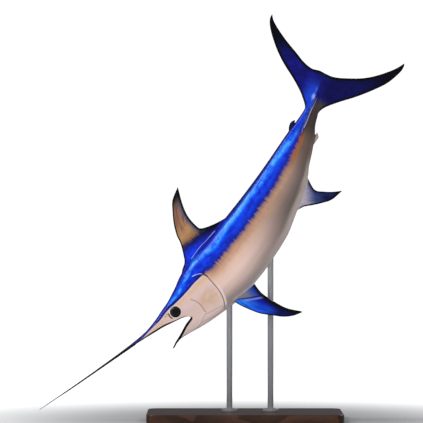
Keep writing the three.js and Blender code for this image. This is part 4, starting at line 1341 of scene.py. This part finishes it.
def first_anal_paint(paint, lines):
    """Pale grey at the root, navy at the tip."""
    _, from_trail, from_tip = paint.parts("rim")
    anal = paint.over(
        paint.mix(from_tip.step(205.0, 130.0), ANAL_GREY, ANAL_BLUE),
        (from_tip.step(150.0, 80.0), ANAL_NAVY),
        (from_trail.step(26.0, 6.0) * 0.8, ANAL_EDGE),
        (lines.step(0.5, 0.64) * 0.35, ANAL_RAYS),
    )
    return edged(paint, anal, 7.0, 6.5, 38.0)


def fin_paints(paint, u, v):
    """Colour of each fin by its mark."""
    across, out, _ = paint.parts("ray")
    lines = paint.noise(across * 46, out * 3, 0.0, 2.0)
    cloud = paint.noise(u * 24, v * 24, 0.0, 3.0)
    return {
        "first_dorsal": first_dorsal_paint(paint, u, v, lines, cloud),
        "tail": tail_paint(paint, u, v, lines, cloud),
        "pectoral": pectoral_paint(paint, v, lines),
        "first_anal": first_anal_paint(paint, lines),
        "second_dorsal": edged(paint, SECOND_DORSAL_NAVY, 5.0, 4.0, 14.0),
        "second_anal": paint.mix(out.step(0.2, 0.9), SECOND_ANAL_PINK, SECOND_ANAL_GREY),
    }


def body_paint(paint, u, v, w):
    """Blue back over the pale flank, with a ragged limit, the face and the bill."""
    flank = head_lines(paint, flank_paint(paint, u, v, w), u, v)
    comb = paint.noise(u * 200, v * 4, w * 4, 2.0, 0.7)
    sway = paint.noise(u * 26, 3.0, w * 2, 1.0)
    on_body = u.step(1.07, 1.13)
    ragged = comb.from_to(-24.0, 24.0) + sway.from_to(-6.0, 6.0)
    above = paint.mark("above_edge") + ragged * on_body
    is_blue = (above / on_body.from_to(1.2, 9.0)).step(-1.0, 1.0)
    shade = above.step(-26.0, -2.0) * on_body * u.step(1.98, 1.9) * 0.5
    colour = paint.over(flank, (shade, LIMIT_SHADE), (is_blue, blue_of_back(paint, u, v, w)))
    colour = paint.over(
        eye_surround(paint, colour, u, v),
        (stroke(paint, "gill_navy", 1.2, 4.5) * 0.9, GILL_NAVY),
        # painted highlight: thin white line on top of the gill cover
        (stroke(paint, "gill_highlight", 0.3, 2.6) * 0.8, GILL_HIGHLIGHT),
    )
    bill = paint.mix(v.step(0.0, 0.006) * u.step(0.3, 0.6) * 0.6, BLACK, BILL_NAVY)
    under = u.step(0.74, 0.6) * u.step(0.1, 0.3) * v.step(0.0, -0.004) * 0.6
    return paint.over(
        mouth_paint(paint, colour, u, v),
        (u.step(0.64, 0.55), bill),
        (under, BILL_BROWN),
        (stroke(paint, "keel_light", 0.5, 3.0) * 0.7, KEEL_LILAC),
    )


def skin_finish():
    """Airbrushed skin under a clear gloss."""
    paint = Finish("painted_skin")
    u, v, w = paint.parts("fish")
    colour = body_paint(paint, u, v, w)
    for kind, fin_colour in fin_paints(paint, u, v).items():
        mask = paint.mark(kind)
        if kind == "tail":
            mask = mask.at_least(u.step(2.1, 2.2))
        colour = paint.mix(mask, colour, fin_colour)
    # Painted highlight: a pale line along the foot of the first dorsal fin
    paint.colour(paint.mix(stroke(paint, "dorsal_highlight", 0.5, 2.8) * 0.5, colour, HIGHLIGHT_PALE))
    grain = paint.noise(u * 420, v * 420, w * 420, 2.0)
    waves = paint.noise(u * 60, v * 16, w * 16, 2.0)
    paint.relief(paint.bump(grain, 0.1, 0.0008, paint.bump(waves, 0.12, 0.004)))
    paint.gloss(waves.from_to(0.3, 0.5), coat=0.25, coat_roughness=0.06)
    paint.shader.inputs["Specular IOR Level"].default_value = SKIN_SPECULAR
    return paint.material


def eye_finish():
    """Glass eye: a wide black pupil in a dark blue-brown ring."""
    paint = Finish("glass_eye")
    away, around, _ = paint.parts("disc")
    fibres = paint.noise(around * 9, away * 0.12, 0.0, 3.0)
    iris = paint.mix(fibres, IRIS_BLUE, IRIS_BROWN)
    paint.colour(paint.over(
        PUPIL, (away.step(*PUPIL_EDGE), iris), (away.step(*IRIS_EDGE), EYE_EDGE_BLACK)))
    paint.gloss(fibres.from_to(0.08, 0.16), coat=1.0, coat_roughness=0.02)
    return paint.material


def wood_finish(settings):
    """Dark stained timber with a satin varnish."""
    paint = Finish("stained_wood")
    x, y, z = paint.place()
    sway = paint.noise(x * 2.2, y * 7, z * 7, 2.0)
    rings = paint.math("FRACT", (y + sway * 0.16) * 26)
    pores = paint.noise(x * 34, y * 760, z * 760, 2.0)
    dark = (*settings.wood_colour, 1.0)
    light = tuple(min(1.0, GRAIN_LIGHTER * c) for c in settings.wood_colour) + (1.0,)
    paint.colour(paint.over(
        dark, (rings.step(0.15, 0.95) * 0.8, light), (pores.step(0.58, 0.7) * 0.7, PORE_BROWN)))
    paint.relief(paint.bump(pores, 0.25, 0.0006))
    paint.gloss(pores.from_to(0.3, 0.46), coat=0.35, coat_roughness=0.18)
    return paint.material


def steel_finish(name, across, along):
    """Brushed steel, with so many fine lines a metre across and along the piece."""
    paint = Finish(name)
    x, y, z = paint.place()
    lines = paint.noise(x * across, y * across, z * along, 2.0)
    stain = paint.noise(x * 9, y * 9, z * 5, 2.0)
    paint.colour(paint.mix(stain, STEEL_GREY, STEEL_PALE))
    paint.relief(paint.bump(lines, 0.12, 0.0003))
    paint.gloss(lines.from_to(0.3, 0.46), metallic=0.7)
    return paint.material


def floor_finish(settings):
    """Pale studio floor, white away from the stand."""
    paint = Finish("studio_floor")
    x, y, _ = paint.place()
    speck = paint.noise(x * 3, y * 3, 0.0, 4.0)
    paint.colour(paint.mix(speck.from_to(0.0, 0.06), (*settings.floor_colour, 1.0), FLOOR_GREY))
    paint.feed(paint.shader.inputs["Emission Color"], WHITE)
    from_stand = (x * x + y * y).root()
    paint.feed(paint.shader.inputs["Emission Strength"], from_stand.step(*WHITE_FROM))
    paint.gloss(0.85)
    return paint.material


def apply_bevel(piece, width, segments, degrees=40):
    """Rounds the sharp edges of a piece."""
    only(piece)
    bevel = piece.modifiers.new("round_edges", "BEVEL")
    bevel.width, bevel.segments, bevel.angle_limit = width, segments, math.radians(degrees)
    bpy.ops.object.modifier_apply(modifier=bevel.name)
    bpy.ops.object.shade_smooth_by_angle(angle=math.radians(STAND_SMOOTH))


def settle(piece):
    """Puts a piece's place, turn and size into its mesh."""
    only(piece)
    bpy.ops.object.transform_apply(location=True, rotation=True, scale=True)


def finish_piece(piece, slot, material, *nodes):
    """Gives a piece its material, and lets it stand for its nodes. Its slot is not used."""
    piece.data.materials.clear()
    piece.data.materials.append(material)
    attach(piece, BODY)
    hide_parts(*nodes)


def wooden_base(settings):
    """The base, with its upright corners well rounded and its other edges eased."""
    low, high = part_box("stand_base")
    base = plain_piece(
        "wooden_base", bpy.ops.mesh.primitive_cube_add, size=1, location=(low + high) / 2)
    base.scale = high - low
    settle(base)
    points = points_of(base)
    upright = [abs(np.diff(points[list(edge.vertices)][:, 2])[0]) > 0.01 for edge in base.data.edges]
    with editing(base, "EDGE", upright):
        bpy.ops.mesh.bevel(offset=BASE_CORNER, segments=BASE_CORNER_STEPS, affect="EDGES")
    apply_bevel(base, settings.edge_round, BASE_EDGE_STEPS)
    finish_piece(base, "stand_wood", wood_finish(settings), "stand_base")


def steel_rod(end, sides, steel):
    """A rod that goes a little into the fish and the base. Returns its radius."""
    low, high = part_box(f"stand_rod_{end}")
    middle, radius = (low + high) / 2, (high.x - low.x) / 2
    foot, top = low.z - ROD_INTO_BASE, high.z + ROD_INTO_FISH
    rod = plain_piece(
        f"steel_rod_{end}", bpy.ops.mesh.primitive_cylinder_add, vertices=sides, radius=radius,
        depth=top - foot, location=(middle.x, middle.y, (top + foot) / 2))
    settle(rod)
    apply_bevel(rod, ROD_ROUND, 3)
    finish_piece(rod, "stand_steel", steel, f"stand_rod_{end}")
    return radius


def steel_collar(end, rod_radius, steel):
    """A collar with a raised rim and a groove round its rod."""
    low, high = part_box(f"stand_collar_{end}")
    wide = (high.x - low.x) / 2
    collar = plain_piece(
        f"steel_collar_{end}", bpy.ops.mesh.primitive_cylinder_add, vertices=64, radius=wide,
        depth=high.z - low.z, location=(low + high) / 2, end_fill_type="NGON")
    settle(collar)
    land = wide - COLLAR_RIM - rod_radius - ROD_ROUND
    with editing(collar, "FACE", [face.normal.z > 0.9 for face in collar.data.polygons]):
        for thickness, depth in ((COLLAR_RIM, 0), (land, 0), (COLLAR_LIP, -COLLAR_GROOVE)):
            bpy.ops.mesh.inset(thickness=thickness, depth=depth)
    apply_bevel(collar, COLLAR_ROUND, 4, 60)
    finish_piece(collar, "stand_steel", steel, f"stand_collar_{end}")


def studio_floor(settings):
    """A wide pale floor that doesn't show in the paint's gloss."""
    floor = plain_piece(
        "studio_floor", bpy.ops.mesh.primitive_circle_add, vertices=96, radius=FLOOR_RADIUS,
        fill_type="NGON")
    floor.data.materials.append(floor_finish(settings))
    floor.visible_glossy = False


def white_surround():
    """A white shell that only the camera sees."""
    surround = plain_piece(
        "white_surround", bpy.ops.mesh.primitive_uv_sphere_add, segments=48, ring_count=24,
        radius=SURROUND_RADIUS)
    white = bpy.data.materials.new("white_surround")
    white.use_nodes = True
    nodes = white.node_tree.nodes
    nodes.clear()
    glow, end = nodes.new("ShaderNodeEmission"), nodes.new("ShaderNodeOutputMaterial")
    glow.inputs["Strength"].default_value = SURROUND_GLOW
    white.node_tree.links.new(glow.outputs[0], end.inputs["Surface"])
    surround.data.materials.append(white)
    for way in ("diffuse", "glossy", "transmission", "volume_scatter", "shadow"):
        setattr(surround, f"visible_{way}", False)


def add_lamp(name, at, target, size, power, gleams):
    """A rectangular light that hangs at a place and aims at another."""
    light = bpy.data.lights.new(name, "AREA")
    light.shape, light.size, light.size_y, light.energy = "RECTANGLE", *size, power
    lamp = bpy.data.objects.new(name, light)
    bpy.context.scene.collection.objects.link(lamp)
    lamp.location = at
    lamp.visible_glossy = gleams
    lamp.rotation_euler = (Vector(target) - Vector(at)).to_track_quat("-Z", "Y").to_euler()


def photo_camera(settings):
    """A camera far out on the fish's left, level with the middle of the model."""
    data = bpy.data.cameras.new("photo_camera")
    data.sensor_width = SENSOR
    data.lens = SENSOR * settings.camera_distance / settings.view_width
    data.clip_end = VIEW_END
    camera = bpy.data.objects.new("photo_camera", data)
    bpy.context.scene.collection.objects.link(camera)
    camera.location = (CAMERA_X, -settings.camera_distance, CAMERA_HEIGHT)
    camera.rotation_euler = (math.radians(90), 0, 0)
    return camera


class SwordfishStand(bpy.types.PropertyGroup):
    """Sizes and colours of the display stand."""

    wood_colour: bpy.props.FloatVectorProperty(
        name="Wood colour", description="Stain of the base", size=3, subtype="COLOR",
        default=WOOD_BROWN[:3], min=0, max=1)
    edge_round: bpy.props.FloatProperty(
        name="Edge round", description="Radius of the base's edges", default=0.006,
        unit="LENGTH", subtype="DISTANCE")
    rod_sides: bpy.props.IntProperty(
        name="Rod sides", description="Faces around each rod", default=48, min=12)


class SwordfishStudio(bpy.types.PropertyGroup):
    """Camera, light and floor."""

    floor_colour: bpy.props.FloatVectorProperty(
        name="Floor colour", description="Colour of the studio floor", size=3, subtype="COLOR",
        default=(0.72, 0.72, 0.72), min=0, max=1)
    camera_distance: bpy.props.FloatProperty(
        name="Camera distance", description="From the fish's middle plane", default=16.0,
        unit="LENGTH", subtype="DISTANCE")
    view_width: bpy.props.FloatProperty(
        name="View width", description="Width that the picture shows at the fish", default=2.165,
        unit="LENGTH", subtype="DISTANCE")
    key_power: bpy.props.FloatProperty(
        name="Key light", description="Power of the strip above the back", default=45.0,
        subtype="POWER")
    fill_power: bpy.props.FloatProperty(
        name="Fill light", description="Power of the wide light at the front", default=400.0,
        subtype="POWER")


class SWORDFISH_OT_skin(bpy.types.Operator):
    """Models and paints the one skin over the body, bill and fins"""

    bl_idname = "swordfish.skin"
    bl_label = "Skin"

    def execute(self, context):
        """Builds the skin and lets it stand for every node of flesh."""
        piece = build_skin()
        if len(piece.data.vertices) < LEAST_POINTS:
            raise RuntimeError("the skin lost its body when its pieces were joined")
        nodes = [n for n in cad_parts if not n.startswith(("eye_", "stand_"))]
        finish_piece(piece, "skin", skin_finish(), *nodes)
        return {"FINISHED"}


class SWORDFISH_OT_eyes(bpy.types.Operator):
    """Models both glass eyes"""

    bl_idname = "swordfish.eyes"
    bl_label = "Eyes"

    def execute(self, context):
        """Builds each eye with a clear dome over its pupil."""
        material = eye_finish()
        for side, name in ((1, "left"), (-1, "right")):
            eye = eye_ball(f"glass_eye_{name}", side)
            u, v, w = straighten(points_of(eye))
            away = np.hypot(u - EYE["u"], v - EYE["v"])
            surface = float(skin_width(EYE["u"], EYE["v"])) - EYE["sunk"]
            front = EYE_DOME * smooth(np.abs(w) - surface, *EYE_FRONT)
            posed = place(u, v, w + side * front * (hump(away, EYE_DOME_WIDTH) - 1))
            eye.data.vertices.foreach_set("co", posed.ravel())
            around = np.arctan2(v - EYE["v"], u - EYE["u"])
            write_marks(eye, "disc", np.stack([away, around, np.zeros(len(u))], -1))
            only(eye)
            bpy.ops.object.shade_smooth()
            finish_piece(eye, "eye", material, f"eye_{name}")
        return {"FINISHED"}


class SWORDFISH_OT_stand(bpy.types.Operator):
    """Models the wooden base, the rods and their collars"""

    bl_idname = "swordfish.stand"
    bl_label = "Stand"

    def execute(self, context):
        """Builds the stand's pieces on the places of their nodes."""
        settings = context.scene.swordfish_stand
        wooden_base(settings)
        rod_steel = steel_finish("brushed_rod", *ROD_LINES)
        collar_steel = steel_finish("turned_collar", *COLLAR_LINES)
        for end in ("front", "rear"):
            radius = steel_rod(end, settings.rod_sides, rod_steel)
            steel_collar(end, radius, collar_steel)
        return {"FINISHED"}


class SWORDFISH_OT_studio(bpy.types.Operator):
    """Sets up the floor, the white surround, the lights and the camera"""

    bl_idname = "swordfish.studio"
    bl_label = "Studio"

    def execute(self, context):
        """Builds the stage round the model."""
        settings = context.scene.swordfish_studio
        studio_floor(settings)
        white_surround()
        world = bpy.data.worlds.new("soft_studio")
        context.scene.world = world
        world.use_nodes = True
        sky = world.node_tree.nodes["Background"].inputs
        sky["Color"].default_value, sky["Strength"].default_value = SKY_TINT, SKY_POWER
        key, fill = settings.key_power, settings.fill_power
        add_lamp("key_strip", (-2.9, -0.1, 3.3), (-0.05, 0, 1.25), (0.8, 2.6), key, True)
        add_lamp("front_fill", (-2.8, -8.0, 4.0), (-0.1, 0, 1.1), (7.5, 7.5), fill, False)
        add_lamp("low_fill", (1.8, -5.0, 0.85), (-0.1, 0, 0.9), (3.0, 1.4), 45.0, False)
        add_lamp("rear_light", (2.4, 3.2, 2.8), (0, 0, 1.2), (1.6, 1.6), 30.0, True)
        context.scene.camera = photo_camera(settings)
        context.scene.view_settings.view_transform = "Standard"
        return {"FINISHED"}


class SWORDFISH_PT_panel(bpy.types.Panel):
    """Sidebar panel with the model's steps and sizes"""

    bl_label = "Museum swordfish"
    bl_idname = "SWORDFISH_PT_panel"
    bl_space_type = "VIEW_3D"
    bl_region_type = "UI"
    bl_category = "Swordfish"

    def draw(self, context):
        """Lists the steps and the settings."""
        for operator in OPERATORS:
            self.layout.operator(operator.bl_idname)
        for group in (context.scene.swordfish_stand, context.scene.swordfish_studio):
            for name in group.__annotations__:
                self.layout.prop(group, name)


OPERATORS = (SWORDFISH_OT_skin, SWORDFISH_OT_eyes, SWORDFISH_OT_stand, SWORDFISH_OT_studio)
CLASSES = (SwordfishStand, SwordfishStudio, *OPERATORS, SWORDFISH_PT_panel)


def register():
    """Adds the classes and their settings."""
    for item in CLASSES:
        bpy.utils.register_class(item)
    bpy.types.Scene.swordfish_stand = bpy.props.PointerProperty(type=SwordfishStand)
    bpy.types.Scene.swordfish_studio = bpy.props.PointerProperty(type=SwordfishStudio)


def unregister():
    """Takes them away again."""
    del bpy.types.Scene.swordfish_stand
    del bpy.types.Scene.swordfish_studio
    for item in reversed(CLASSES):
        bpy.utils.unregister_class(item)


def main():
    """Runs every step in order."""
    register()
    bpy.ops.swordfish.skin()
    bpy.ops.swordfish.eyes()
    bpy.ops.swordfish.stand()
    bpy.ops.swordfish.studio()


if __name__ == "__main__":
    main()
